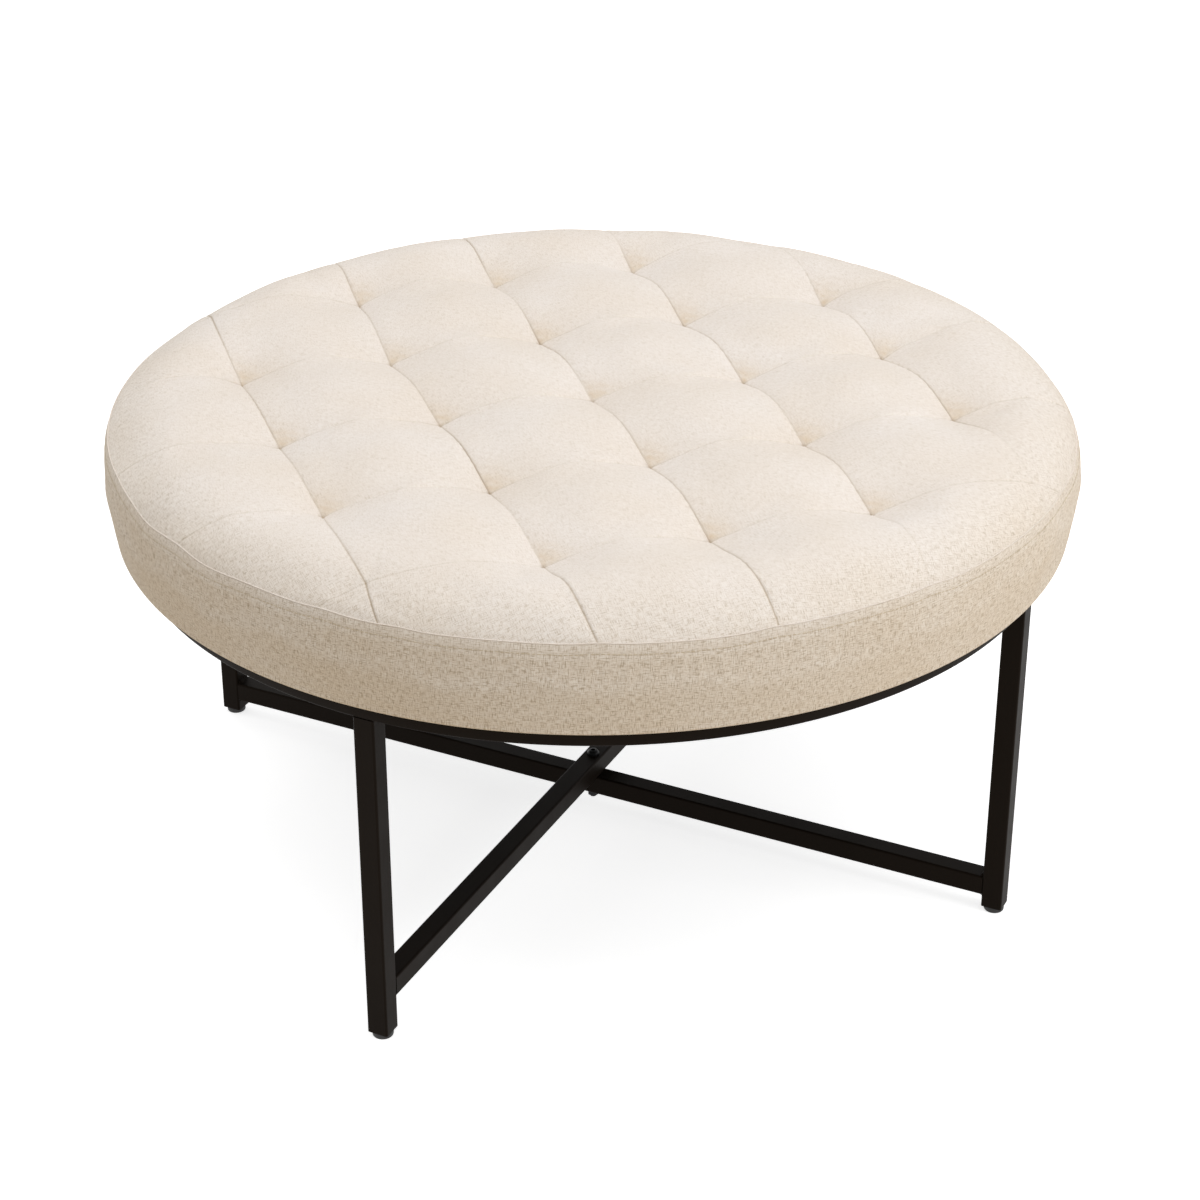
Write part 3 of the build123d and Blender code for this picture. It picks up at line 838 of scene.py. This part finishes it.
EDGE_Z = UNDER_Z - EDGE_SAG
ROUND_R = LOWER_R - EDGE_ROUND
side_z = np.array([SEAM_Z, WIDEST_Z, (UNDER_Z + WIDEST_Z) / 2, EDGE_Z + EDGE_ROUND])
bow = np.polyfit(side_z - WIDEST_Z, [RIM_R, SEAT_R, SEAT_R - MIDDLE_TUCK, LOWER_R], 3)
outer_z = np.concatenate([
    SEAM_Z - np.linspace(0, 1.5 * STITCH_DROP, 13),
    np.linspace(SEAM_Z - 1.5 * STITCH_DROP, EDGE_Z + EDGE_ROUND, 23)[1:],
])
outer_r = np.polyval(bow, outer_z - WIDEST_Z)
round_turn = np.linspace(0, np.pi / 2, 6)[1:]
round_r = LOWER_R - EDGE_ROUND * (1 - np.cos(round_turn))
round_z = EDGE_Z + EDGE_ROUND * (1 - np.sin(round_turn))
fold_r = np.linspace(ROUND_R, FOLD_R, 11)[1:]
fold_z = UNDER_Z - EDGE_SAG * eased((fold_r - RING_EDGE_R) / (ROUND_R - RING_EDGE_R))
inner_r = [FOLD_R, LOWER_R - BAND_WALL - 1, SEAT_R - BAND_WALL, RIM_R - BAND_WALL]
inner_z = [UNDER_Z + TURNED_UP, UNDER_Z + TURNED_UP, WIDEST_Z, SEAM_Z]
band_r = np.concatenate([outer_r, round_r, fold_r, inner_r])
band_z = np.concatenate([outer_z, round_z, fold_z, inner_z])
band_down = np.concatenate([[0], np.cumsum(np.hypot(np.diff(band_r), np.diff(band_z)))])
print("band's cloth from seam to edge:", round(band_down[len(outer_r)], 1), "mm")

# %% Relief and filling of the band
BAND_COLUMNS = 1080
STITCH_GROOVE = 0.1
STRIP_RISE = 0.45
STITCH_GROOVE_HALF = 1.3
PUCKER_RISE = 0.12
PUCKER_WAVE = 2.9
PUCKER_REACH = 5.0
BAND_LUMPS = 0.7
LIFT_REACH = 25.0

bearing = np.arange(BAND_COLUMNS) * (2 * np.pi / BAND_COLUMNS)
outside = (np.arange(len(band_r)) < len(outer_r) + 2).astype(float)
stitch_z = SEAM_Z - STITCH_DROP
below_stitch = stitch_z - band_z
middle_share = np.sin(np.pi * np.clip(below_stitch / (stitch_z - UNDER_Z), 0, 1)) * outside
strip_rise = STRIP_RISE * np.cos(np.pi / 2 * np.clip((SEAM_Z - band_z) / STITCH_DROP, 0, 1))
strip_rise = (strip_rise - STITCH_GROOVE * bell(below_stitch, STITCH_GROOVE_HALF)) * outside
lift_share = np.clip(1 - np.clip(below_stitch, 0, None) / LIFT_REACH, 0, 1) ** 2
around, down = np.meshgrid(bearing * SEAT_R, band_down)
stitch_pucker = PUCKER_RISE * np.sin(around / PUCKER_WAVE + 1.5 * lumps(around, down, 60, 8))
stitch_pucker *= (np.exp(-np.abs(below_stitch) / PUCKER_REACH) * outside)[:, None]
band_rise = BAND_LUMPS * lumps(around, down, 110, 6) * middle_share[:, None] + strip_rise[:, None]
band_points = polar(
    band_r[:, None] + band_rise + stitch_pucker, bearing,
    band_z[:, None] + seam_lift(bearing) * lift_share[:, None],
)
cloth_columns = np.arange(BAND_COLUMNS + 1) * (2 * np.pi * SEAT_R / BAND_COLUMNS)
cloth_rows = np.append(band_down, band_down[-1] + BAND_WALL)
band_cloth = np.stack(np.meshgrid(cloth_columns, -cloth_rows), 2)
band_mesh = grid_mesh("boxing_band_cover", band_points, (True, True), band_cloth)
band_pins = np.repeat((1 - middle_share > 0.8).astype(float), BAND_COLUMNS)
move_points(band_mesh, puff(band_mesh, band_pins, cap=1.5, frames=8))
row_of = np.repeat(np.arange(len(band_r)), BAND_COLUMNS)
# Painted shade: a faint dark line in the groove of the topstitching.
note_on_points(band_mesh, "seam", (0.05 * bell(below_stitch, 1.0) * outside)[row_of])
# Painted shade: the whole side band darker and browner, a little less on the strip above the stitching.
note_on_points(band_mesh, "painted_shade", (0.75 + 0.25 * eased((below_stitch + 2) / 6))[row_of])
boxing = piece(band_mesh, linen, ["boxing_band"], sharp=70)

# %% [markdown]
# ## Seam ridge and topstitching
#
# Where top and band meet, the turned edge of the cloth stands up as a narrow ridge that catches the
# light, and a row of stitches runs 8 mm under it. The ridge is a small round carried along the seam
# line, and a stitch is a short capsule of thread that lies in the groove of the topstitching. The
# thread is a pale twisted polyester, whose fine bands are too small to show and only soften it.

# %% Ridge
RIDGE_R = 0.55
RIDGE_FLATNESS = 0.9
RIDGE_OUT = 0.2
RIDGE_UP = 0.25
RIDGE_SIDES = 12
ridge_turn = (np.arange(RIDGE_SIDES) * (2 * np.pi / RIDGE_SIDES))[:, None]
ridge_points = polar(
    RIM_R + RIDGE_OUT + RIDGE_R * np.cos(ridge_turn), bearing,
    SEAM_Z + RIDGE_UP + RIDGE_FLATNESS * RIDGE_R * np.sin(ridge_turn) + seam_lift(bearing),
)
ridge_cloth = np.stack(np.meshgrid(cloth_columns, np.arange(RIDGE_SIDES + 1) * 0.65), 2)
ridge_mesh = grid_mesh("boxing_seam_ridge", ridge_points, (True, True), ridge_cloth, flip=True)
ridge_mesh = joined("boxing_seam_ridge", [ridge_mesh])
# The ridge gets no painted shade.
note_on_points(ridge_mesh, "painted_shade", np.zeros(len(ridge_mesh.vertices)))
piece(ridge_mesh, linen)

# %% Topstitching
STITCH_PITCH = 4.2
STITCH_LENGTH = 3.3
STITCH_R = 0.3
STITCH_SIDES = 5
STITCH_LIE = 0.15

thread_finish, tree, shader = finish(
    "twisted polyester thread", {"Base Color": linear("#cabb9f"), "Roughness": 0.7}
)
place = add(tree, "TexCoord").outputs["Object"]
twist = add(tree, "TexWave", {"Vector": place, "Scale": 900.0, "Distortion": 2.0}).outputs[1]
fill(shader, {"Normal": add(tree, "Bump", {"Height": twist, "Distance": 0.1 * MM, "Strength": 0.5})})

stitch_count = int(2 * np.pi * RIM_R / STITCH_PITCH)
stitch_bearing = (np.arange(stitch_count) * (2 * np.pi / stitch_count))[:, None, None]
around_stitch = np.arange(STITCH_SIDES) * (2 * np.pi / STITCH_SIDES)
along_stitch = STITCH_LENGTH * np.array([-0.5, -0.36, 0.0, 0.36, 0.5])[:, None]
thickness = STITCH_R * np.array([0.15, 0.9, 1.0, 0.9, 0.15])[:, None]
stitches = polar(
    np.polyval(bow, stitch_z - WIDEST_Z) - STITCH_GROOVE + STITCH_LIE + thickness * np.cos(around_stitch),
    stitch_bearing + along_stitch / RIM_R,
    stitch_z + thickness * np.sin(around_stitch) + seam_lift(stitch_bearing),
)
rows, columns = stitches.shape[1:3]
base = (np.arange(stitch_count) * rows * columns)[:, None]
row, column = (grid.ravel() for grid in np.meshgrid(np.arange(rows - 1), np.arange(columns), indexing="ij"))
near, far = row * columns, (row + 1) * columns
beyond = (column + 1) % columns
side = np.stack([near + column, near + beyond, far + beyond, far + column], 1)
faces = (base[:, :, None] + side).reshape(-1, 4).tolist()
for cap in (np.arange(columns)[::-1], (rows - 1) * columns + np.arange(columns)):
    faces += (base + cap).tolist()
stitch_mesh = joined("topstitching", [mesh_of("topstitching", stitches, faces)])
print("stitches:", stitch_count)
piece(stitch_mesh, thread_finish)

# %% [markdown]
# ## Finishes of the frame and fittings
#
# The tube frame is mild steel with a satin black powder coat. Powder melts into a skin with a very
# slight orange-peel texture, about 2 mm across, so its highlights are soft and a little uneven. The
# screws are blackened steel, and the inserts and plugs are zinc-plated, with a crystalline spangle.
# The board is raw birch plywood with thin layers, and the toggles and glides are moulded plastic.
# Textures finer than the render shows are kept, because they soften the highlights.

# %% Finishes of the frame and fittings
PLY_SPACING = 4.0 * MM


def grained(name, code, roughness, grain, depth, strength=0.6):
    """A plain colour with a fine uneven skin: noise of that grain, raised by that depth."""
    made, tree, shader = finish(name, {"Base Color": linear(code), "Roughness": roughness})
    place = add(tree, "TexCoord").outputs["Object"]
    skin = add(tree, "TexNoise", {"Vector": place, "Scale": 1 / grain, "Detail": 2.0})
    fill(shader, {"Normal": add(tree, "Bump", {"Height": skin, "Distance": depth, "Strength": strength})})
    return made, tree, shader, place


def coated(name, code, roughness, grain, depth, more):
    """Coated, blackened or moulded black: a fine skin, and a gloss that varies slowly over it."""
    made, tree, shader, place = grained(name, code, roughness, grain, depth)
    cloud = add(tree, "TexNoise", {"Vector": place, "Scale": 30.0, "Detail": 3.0})
    gloss = {"Value": cloud, "To Min": roughness - 0.06, "To Max": roughness + 0.08}
    fill(shader, {"Roughness": add(tree, "MapRange", gloss), **more})
    return made


powder_coat = coated(
    "satin black powder coat on mild steel", "#130e0a", roughness=0.5, grain=2.0 * MM, depth=0.05 * MM,
    more={"Specular IOR Level": 0.07, "Specular Tint": linear("#f2dcc6")},
)
black_oxide = coated("black oxide steel", "#161617", 0.35, 0.5 * MM, 0.01 * MM, {"Metallic": 0.6})
glide_plastic = coated("moulded black polyethylene", "#151413", 0.5, 0.8 * MM, 0.02 * MM, {})
nylon = grained("natural nylon, moulded", "#dedad0", 0.45, 3.0 * MM, 0.05 * MM, 0.4)[0]
twine = grained("waxed polyester twine", "#ded4c0", 0.55, 0.4 * MM, 0.1 * MM)[0]

zinc, tree, shader = finish(
    "zinc-plated steel", {"Base Color": linear("#b9bab8"), "Metallic": 1.0, "Roughness": 0.38}
)
spangle = add(tree, "TexVoronoi", {"Vector": add(tree, "TexCoord").outputs["Object"], "Scale": 400.0})
fill(shader, {"Roughness": add(tree, "MapRange", {"Value": spangle, "To Min": 0.3, "To Max": 0.5})})

plywood, tree, shader = finish("raw birch plywood", {"Roughness": 0.7})
place = add(tree, "TexCoord").outputs["Object"]
stretched = add(tree, "Mapping", {"Vector": place, "Scale": (6.0, 90.0, 40.0)})
grain = add(tree, "TexNoise", {"Vector": stretched, "Scale": 1.0, "Detail": 4.0, "Distortion": 0.4})
upward = add(tree, "SeparateXYZ", {0: place}).outputs[2]
phase = add(tree, "Math", {0: upward, 1: 2 * np.pi / PLY_SPACING}, operation="MULTIPLY")
layers = add(tree, "Math", {0: phase}, operation="SINE")
mixed = add(tree, "Math", {0: layers, 1: 0.12, 2: grain}, operation="MULTIPLY_ADD")
wood_stops = [(0.25, "#b58f63"), (0.5, "#cfae80"), (0.8, "#dcc096")]
fill(shader, {"Base Color": add(tree, "ValToRGB", {0: mixed}, wood_stops)})

# %% [markdown]
# ## Rolled ring
#
# The ring under the cushion is square tube rolled into a circle. The CAD model has it as a many-sided
# ring, so a smooth one stands in for it: the tube's section, a square with rounded corners, is
# carried round the circle, and its bore and the eight holes for the leg screws are cut out.

# %% Ring
TUBE = 20.0
TUBE_WALL = 1.5
TUBE_CORNER = 2.0
BORE_CORNER = 0.5
RING_R = 421.0
RING_Z = 328.0
RING_TOP = RING_Z + TUBE
RING_SIDES = 360
SCREW_HOLE_R = 3.3
ACCESS_HOLE_R = 6.5
OVERRUN = 5.0
LEG_BEARINGS = np.arange(4) * (np.pi / 2)
LEG_PLACES = polar(RING_R, LEG_BEARINGS, 0)[:, :2]


def square_section(side, rounding, steps=5):
    """Points round a square with rounded corners: a quarter circle at each corner, joined by runs."""
    reach = side / 2 - rounding
    turn = np.linspace(0, np.pi / 2, steps)
    arcs = [
        (sx * reach + rounding * np.cos(turn + start), sz * reach + rounding * np.sin(turn + start))
        for start, sx, sz in zip(LEG_BEARINGS, (1, -1, -1, 1), (1, 1, -1, -1))
    ]
    return np.concatenate([np.stack(arc, 1) for arc in arcs]) + np.array([RING_R, RING_Z + TUBE / 2])


rolled_ring = cut(
    turned("rolled_ring", square_section(TUBE, TUBE_CORNER), RING_SIDES, closed=True),
    turned("bore", square_section(TUBE - 2 * TUBE_WALL, BORE_CORNER, 2), RING_SIDES, closed=True),
    drill("screw_holes", SCREW_HOLE_R, RING_Z - OVERRUN, RING_Z + OVERRUN, 24, LEG_PLACES),
    drill("access_holes", ACCESS_HOLE_R, RING_TOP - OVERRUN, RING_TOP + OVERRUN, 32, LEG_PLACES),
)
piece(rolled_ring, powder_coat, ["seat_ring"], sharp=35)

# %% [markdown]
# ## Weld beads
#
# Where a cross bar meets its legs, a bead of weld lies in the corner above and below it. A bead is
# built up in small overlapping puddles, which leaves ripples across it, and it runs out thin at both
# ends. Its section is a quarter round between a flat fillet and a full one.

# %% Beads
BAR_Z = (18.0, 38.0)
BEAD_SIZE = 3.0
BEAD_HALF = 8.0
BEAD_RUN_OUT = 2.5
RIPPLE = 1.4


def weld_bead(bearing, height, way):
    """A bead along a bar: its size times a run-out, a half ellipse at each end, times its ripples."""
    along = np.linspace(-BEAD_HALF, BEAD_HALF, 65)[:, None]
    past = np.clip(np.abs(along) - BEAD_HALF + BEAD_RUN_OUT, 0, None) / BEAD_RUN_OUT
    turn = np.linspace(0, np.pi / 2, 8)
    full = (1 + 1 / (np.cos(turn) + np.sin(turn))) / 2
    ripples = 0.97 + 0.05 * np.abs(np.sin(np.pi * along / RIPPLE + np.sin(turn)))
    size = BEAD_SIZE * np.sqrt(np.clip(1 - past**2, 0, 1)) * full * ripples
    inward = np.concatenate([size * np.cos(turn), 0 * along], 1)
    up = np.concatenate([size * np.sin(turn), 0 * along], 1)
    radius = RING_R - TUBE / 2 - inward
    return np.stack([
        radius * math.cos(bearing) - along * math.sin(bearing),
        radius * math.sin(bearing) + along * math.cos(bearing),
        height + way * up,
    ], 2)


beads = [
    grid_mesh("bead", weld_bead(bearing, BAR_Z[number % 2] + rise, way), (False, True))
    for number, bearing in enumerate(LEG_BEARINGS) for rise, way in ((0, -1), (TUBE, 1))
]
piece(joined("weld_beads", beads), powder_coat, ["bar_welds"], sharp=60)

# %% [markdown]
# ## Screws, nut, washer and glides
#
# All screws are of one size, 6 mm with a pitch of 1 mm. Heads and glides are turned or moulded, so
# their profiles have small roundings, a nut's corners are cut back by a cone, and the thread is a
# real helix, because these pieces are what somebody sees who takes the ottoman apart.

# %% Profiles of the fittings
SHANK_R = 3.0
SOCKET_R = 4.0 / 2 / math.cos(np.pi / 6)
SOCKET_DEPTH = 2.4
BOLT_HEAD_R = 6.0
BOLT_HEAD_HEIGHT = 4.2
BOLT_THREAD = 24.0
NUT_R = 10.0 / 2 / math.cos(np.pi / 6)
NUT_HEIGHT = 5.0
HEAD_HEIGHT = 4.0
WASHER_R = 7.0
WASHER_THICK = 1.6
BAR_TOP = BAR_Z[1] + TUBE
WASHER_TOP = BAR_Z[0]
WASHER_BASE = WASHER_TOP - WASHER_THICK
NUT_BASE = WASHER_BASE - NUT_HEIGHT
BOLT_END = NUT_BASE - 2.0


def shank(start, end):
    """Rows of a threaded shank, four for each turn of the thread, with a blunt point at its end."""
    steps = np.linspace(start, end, int(abs(end - start) / THREAD_PITCH * 4) + 1)
    return [(SHANK_R, z) for z in steps] + [(SHANK_R - 0.8, end), (0, end)]


def socket_head(radius, base, top, bevel, drop):
    """A round head's rows, from its hexagon socket's floor out over the bevel and in under it."""
    floor = top - SOCKET_DEPTH
    return [
        (0, floor), (SOCKET_R, floor, SOCKET_R), (SOCKET_R, top - 0.2, SOCKET_R),
        (SOCKET_R + 0.2, top, SOCKET_R + 0.2), (radius - bevel - 0.3, top), (radius - bevel, top - 0.12),
        (radius - 0.25, top - drop + 0.3), (radius, top - drop), (radius, base + 0.3), (radius - 0.3, base),
    ]


def hexagon_head(base, top):
    """A hexagon head's rows: a flat face inside its corners, a cone out to them, and its sides."""
    return [(0, base), (NUT_R * 0.83, base), (NUT_R, base + 0.6, NUT_R), (NUT_R, top, NUT_R)]


bolt_rows = socket_head(BOLT_HEAD_R, BAR_TOP, BAR_TOP + BOLT_HEAD_HEIGHT, bevel=2.0, drop=2.6)
bolt_rows += shank(BAR_TOP, BOLT_END)
bolt = turned("centre_bolt_turned", bolt_rows, 48, thread=(BOLT_END, NUT_BASE + BOLT_THREAD))
piece(bolt, black_oxide, ["centre_bolt"], sharp=35)

washer_rows = [
    (SCREW_HOLE_R, WASHER_TOP), (SCREW_HOLE_R, WASHER_BASE), (WASHER_R - 0.2, WASHER_BASE),
    (WASHER_R, WASHER_BASE + 0.2), (WASHER_R, WASHER_TOP - 0.2), (WASHER_R - 0.2, WASHER_TOP),
]
washer = turned("centre_washer_turned", washer_rows, 48, closed=True)
piece(washer, black_oxide, ["centre_washer"], sharp=35)

nut_rows = [
    (SHANK_R + 0.05, WASHER_BASE), (SHANK_R + 0.05, NUT_BASE), (SHANK_R + 0.5, NUT_BASE),
    (NUT_R * 0.85, NUT_BASE), (NUT_R, NUT_BASE + 0.5, NUT_R), (NUT_R, WASHER_BASE - 0.5, NUT_R),
    (NUT_R * 0.85, WASHER_BASE),
]
nut = turned("centre_nut_turned", nut_rows, 48, closed=True)
piece(nut, black_oxide, ["centre_nut"], sharp=25)

# %% Screws of the cushion and the legs
TAB_HOLE_R = 399.0
TAB_BASE = RING_TOP - 3.0
TAB_PLACES = polar(TAB_HOLE_R, LEG_BEARINGS + np.pi / 4, 0)[:, :2]
SEAT_SCREW_END = 361.0
LEG_SCREW_BASE = RING_Z + TUBE_WALL
LEG_SCREW_END = LEG_SCREW_BASE - 12.0

seat_rows = hexagon_head(TAB_BASE - HEAD_HEIGHT, TAB_BASE) + shank(TAB_BASE, SEAT_SCREW_END)
seat_screws = turned("seat_screws_turned", seat_rows, 24, TAB_PLACES, thread=(TAB_BASE + 3, SEAT_SCREW_END))
piece(seat_screws, black_oxide, ["seat_screws"], sharp=35)

leg_rows = socket_head(5.0, LEG_SCREW_BASE, LEG_SCREW_BASE + HEAD_HEIGHT, bevel=0.5, drop=0.5)
leg_rows += shank(LEG_SCREW_BASE, LEG_SCREW_END)
leg_screws = turned("leg_screws_turned", leg_rows, 24, LEG_PLACES, thread=(LEG_SCREW_END, LEG_SCREW_BASE - 1))
piece(leg_screws, black_oxide, ["leg_screws"], sharp=35)

# %% Glides
GLIDE_R = 9.5
GLIDE_TOP = 6.0
STEM_TOP = 26.0
glide_rows = [
    (0, 0.5), (5.2, 0.5), (5.8, 0), (GLIDE_R - 1.3, 0), (GLIDE_R - 0.5, 0.35), (GLIDE_R - 0.1, 1.0),
    (GLIDE_R, 1.8), (GLIDE_R, GLIDE_TOP - 0.8), (GLIDE_R - 0.25, GLIDE_TOP - 0.2), (GLIDE_R - 0.8, GLIDE_TOP),
] + shank(GLIDE_TOP, STEM_TOP)
for side, place in zip(("right", "back", "left", "front"), LEG_PLACES):
    glide = turned(f"glide_{side}", glide_rows, 48, [place], thread=(GLIDE_TOP + 0.5, STEM_TOP))
    piece(glide, glide_plastic, [f"foot_{side}"], body=f"foot_{side}", sharp=35)

# %% [markdown]
# ## Inside the cushion
#
# Under the cover is a block of cut foam, and through it run the ties that make the tufts. Foam is
# full of small open cells, so it looks matt and grainy. A tie is twine of two twisted strands, and
# its section, two lobes side by side, turns as it goes up.

# %% Foam block
FOAM_GAP = 0.2
FOAM_BULGE = 0.6
FOAM_CELL = 1.5 * MM
BOARD_TOP = 363.0
TIE_HOLE_R = 1.6
TIE_PLACES = PITCH / math.sqrt(2) * (TUFTS @ np.array([[1, 1], [1, -1]]))

foam_finish, tree, shader = finish("cut polyurethane foam", {"Roughness": 0.95, "Specular IOR Level": 0.1})
place = add(tree, "TexCoord").outputs["Object"]
cells = add(tree, "TexVoronoi", {"Vector": place, "Scale": 1 / FOAM_CELL})
pores = add(tree, "Bump", {"Height": cells, "Distance": 0.5 * MM, "Strength": 0.7}, invert=True)
foam_colour = add(tree, "ValToRGB", {0: cells}, [(0.1, "#f3e8c6"), (0.7, "#dccb9d")])
fill(shader, {"Base Color": foam_colour, "Normal": pores})

foam_r = FOAM_R - FOAM_GAP
foam_rows = [(0, BOARD_TOP)] + [
    (foam_r + FOAM_BULGE * math.sin(np.pi * share), BOARD_TOP + share * (SEAM_Z - BOARD_TOP))
    for share in np.linspace(0, 1, 9)
] + [
    (foam_r - FOAM_EDGE / 2, FOAM_TOP - 1.3), (foam_r - FOAM_EDGE, FOAM_TOP - FOAM_GAP),
    (0, FOAM_TOP - FOAM_GAP),
]
tie_holes = drill("tie_holes", TIE_HOLE_R, BOARD_TOP - OVERRUN, FOAM_TOP + OVERRUN, 12, TIE_PLACES)
foam_mesh = cut(turned("foam_block", foam_rows, 180), tie_holes)
foam_block = piece(foam_mesh, foam_finish, ["foam_core"], sharp=35)

# %% Twine ties
TIE_R = 1.0
TIE_BASE = 351.0
TIE_TOP = 437.4
TWINE_LAY = 7.0

tie_z = np.linspace(TIE_BASE, TIE_TOP, 75)[:, None]
tie_turn = np.arange(12) * (2 * np.pi / 12)
tie_r = TIE_R * (0.66 + 0.34 * np.abs(np.cos(tie_turn - 2 * np.pi * tie_z / TWINE_LAY)))
tie_r[[0, -1]] = 0
tie_points = polar(tie_r, tie_turn, tie_z)
ties = [grid_mesh("tie", tie_points + np.array([x, y, 0]), (False, True)) for x, y in TIE_PLACES]
piece(joined("twine_ties", ties), twine, ["tuft_ties"])

# %% [markdown]
# ## Dust cloth
#
# Thin black spun cloth closes the underside. It is pinched between the ring and the cushion, so it is
# tight at its edge and hangs a couple of millimetres in the middle. It is one closed shell, its
# lower side and its upper side half a millimetre apart, with four holes for the seat screws. Its
# fibres are bonded at a grid of small points, 1.8 mm apart.

# %% Dust cloth
CLOTH_R = 425.0
CLOTH_BASE = RING_TOP + 0.1
CLOTH_THICK = 0.5
CLOTH_SAG = 2.0
CLOTH_RINGS = 40
FREE_R = 384.0
BOND_PITCH = 1.8 * MM

spun, tree, shader = finish("black spun-bonded cloth", {"Roughness": 0.9, "Specular IOR Level": 0.2})
place = add(tree, "TexCoord").outputs["Object"]
on_bonds = add(tree, "Mapping", {"Vector": place, "Scale": (1 / BOND_PITCH, 1 / BOND_PITCH, 1.0)})
bonds = add(tree, "TexVoronoi", {"Vector": on_bonds, "Scale": 1.0, "Randomness": 0.25})
fibres = add(tree, "TexNoise", {"Vector": place, "Scale": 400.0, "Detail": 3.0, "Distortion": 1.5})
height = add(tree, "Math", {0: fibres, 1: 0.5, 2: bonds}, operation="MULTIPLY_ADD")
fill(shader, {
    "Base Color": add(tree, "ValToRGB", {0: height}, [(0.3, "#141312"), (1.0, "#2b2927")]),
    "Normal": add(tree, "Bump", {"Height": height, "Distance": 0.15 * MM, "Strength": 0.6}),
})

sheet_r = np.linspace(0, CLOTH_R, CLOTH_RINGS)
sheet_r = np.concatenate([sheet_r, sheet_r[::-1]])[:, None]
upper_side = (np.arange(2 * CLOTH_RINGS) >= CLOTH_RINGS).astype(float)[:, None]
sheet_points = polar(sheet_r, np.arange(180) * (2 * np.pi / 180), CLOTH_BASE + CLOTH_THICK * upper_side)
slack = np.clip(1 - (sheet_r / FREE_R) ** 2, 0, 1)
waves = lumps(sheet_points[..., 0], sheet_points[..., 1], 140, 21)
sheet_points[..., 2] -= CLOTH_SAG * slack**1.5 + 0.25 * slack * waves
sheet_mesh = joined("dust_cloth", [grid_mesh("dust_cloth", sheet_points, (False, True))])
seat_holes = drill("seat_holes", SCREW_HOLE_R, RING_TOP - OVERRUN, RING_TOP + OVERRUN, 16, TAB_PLACES)
dust_cloth = piece(cut(sheet_mesh, seat_holes), spun, ["dust_cover"], sharp=60)

# %% [markdown]
# ## Finishes on the CAD's own pieces
#
# The straight tubes, tabs, plugs, board and toggles already have their true shapes, so they keep
# them and only get their finish.

# %% Dress the CAD pieces
def dress(material, *names):
    """Gives CAD nodes that keep their own shape a better finish."""
    for name in names:
        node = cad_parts[name]
        if not node.material_slots:
            node.data.materials.append(material)
        for spot in node.material_slots:
            spot.material = material


dress(powder_coat, "leg_right", "leg_back", "leg_left", "leg_front", "lower_bar", "upper_bar", "seat_tabs")
dress(zinc, "insert_nuts", "leg_plugs", "foot_plugs")
dress(plywood, "seat_board")
dress(nylon, "tie_toggles")
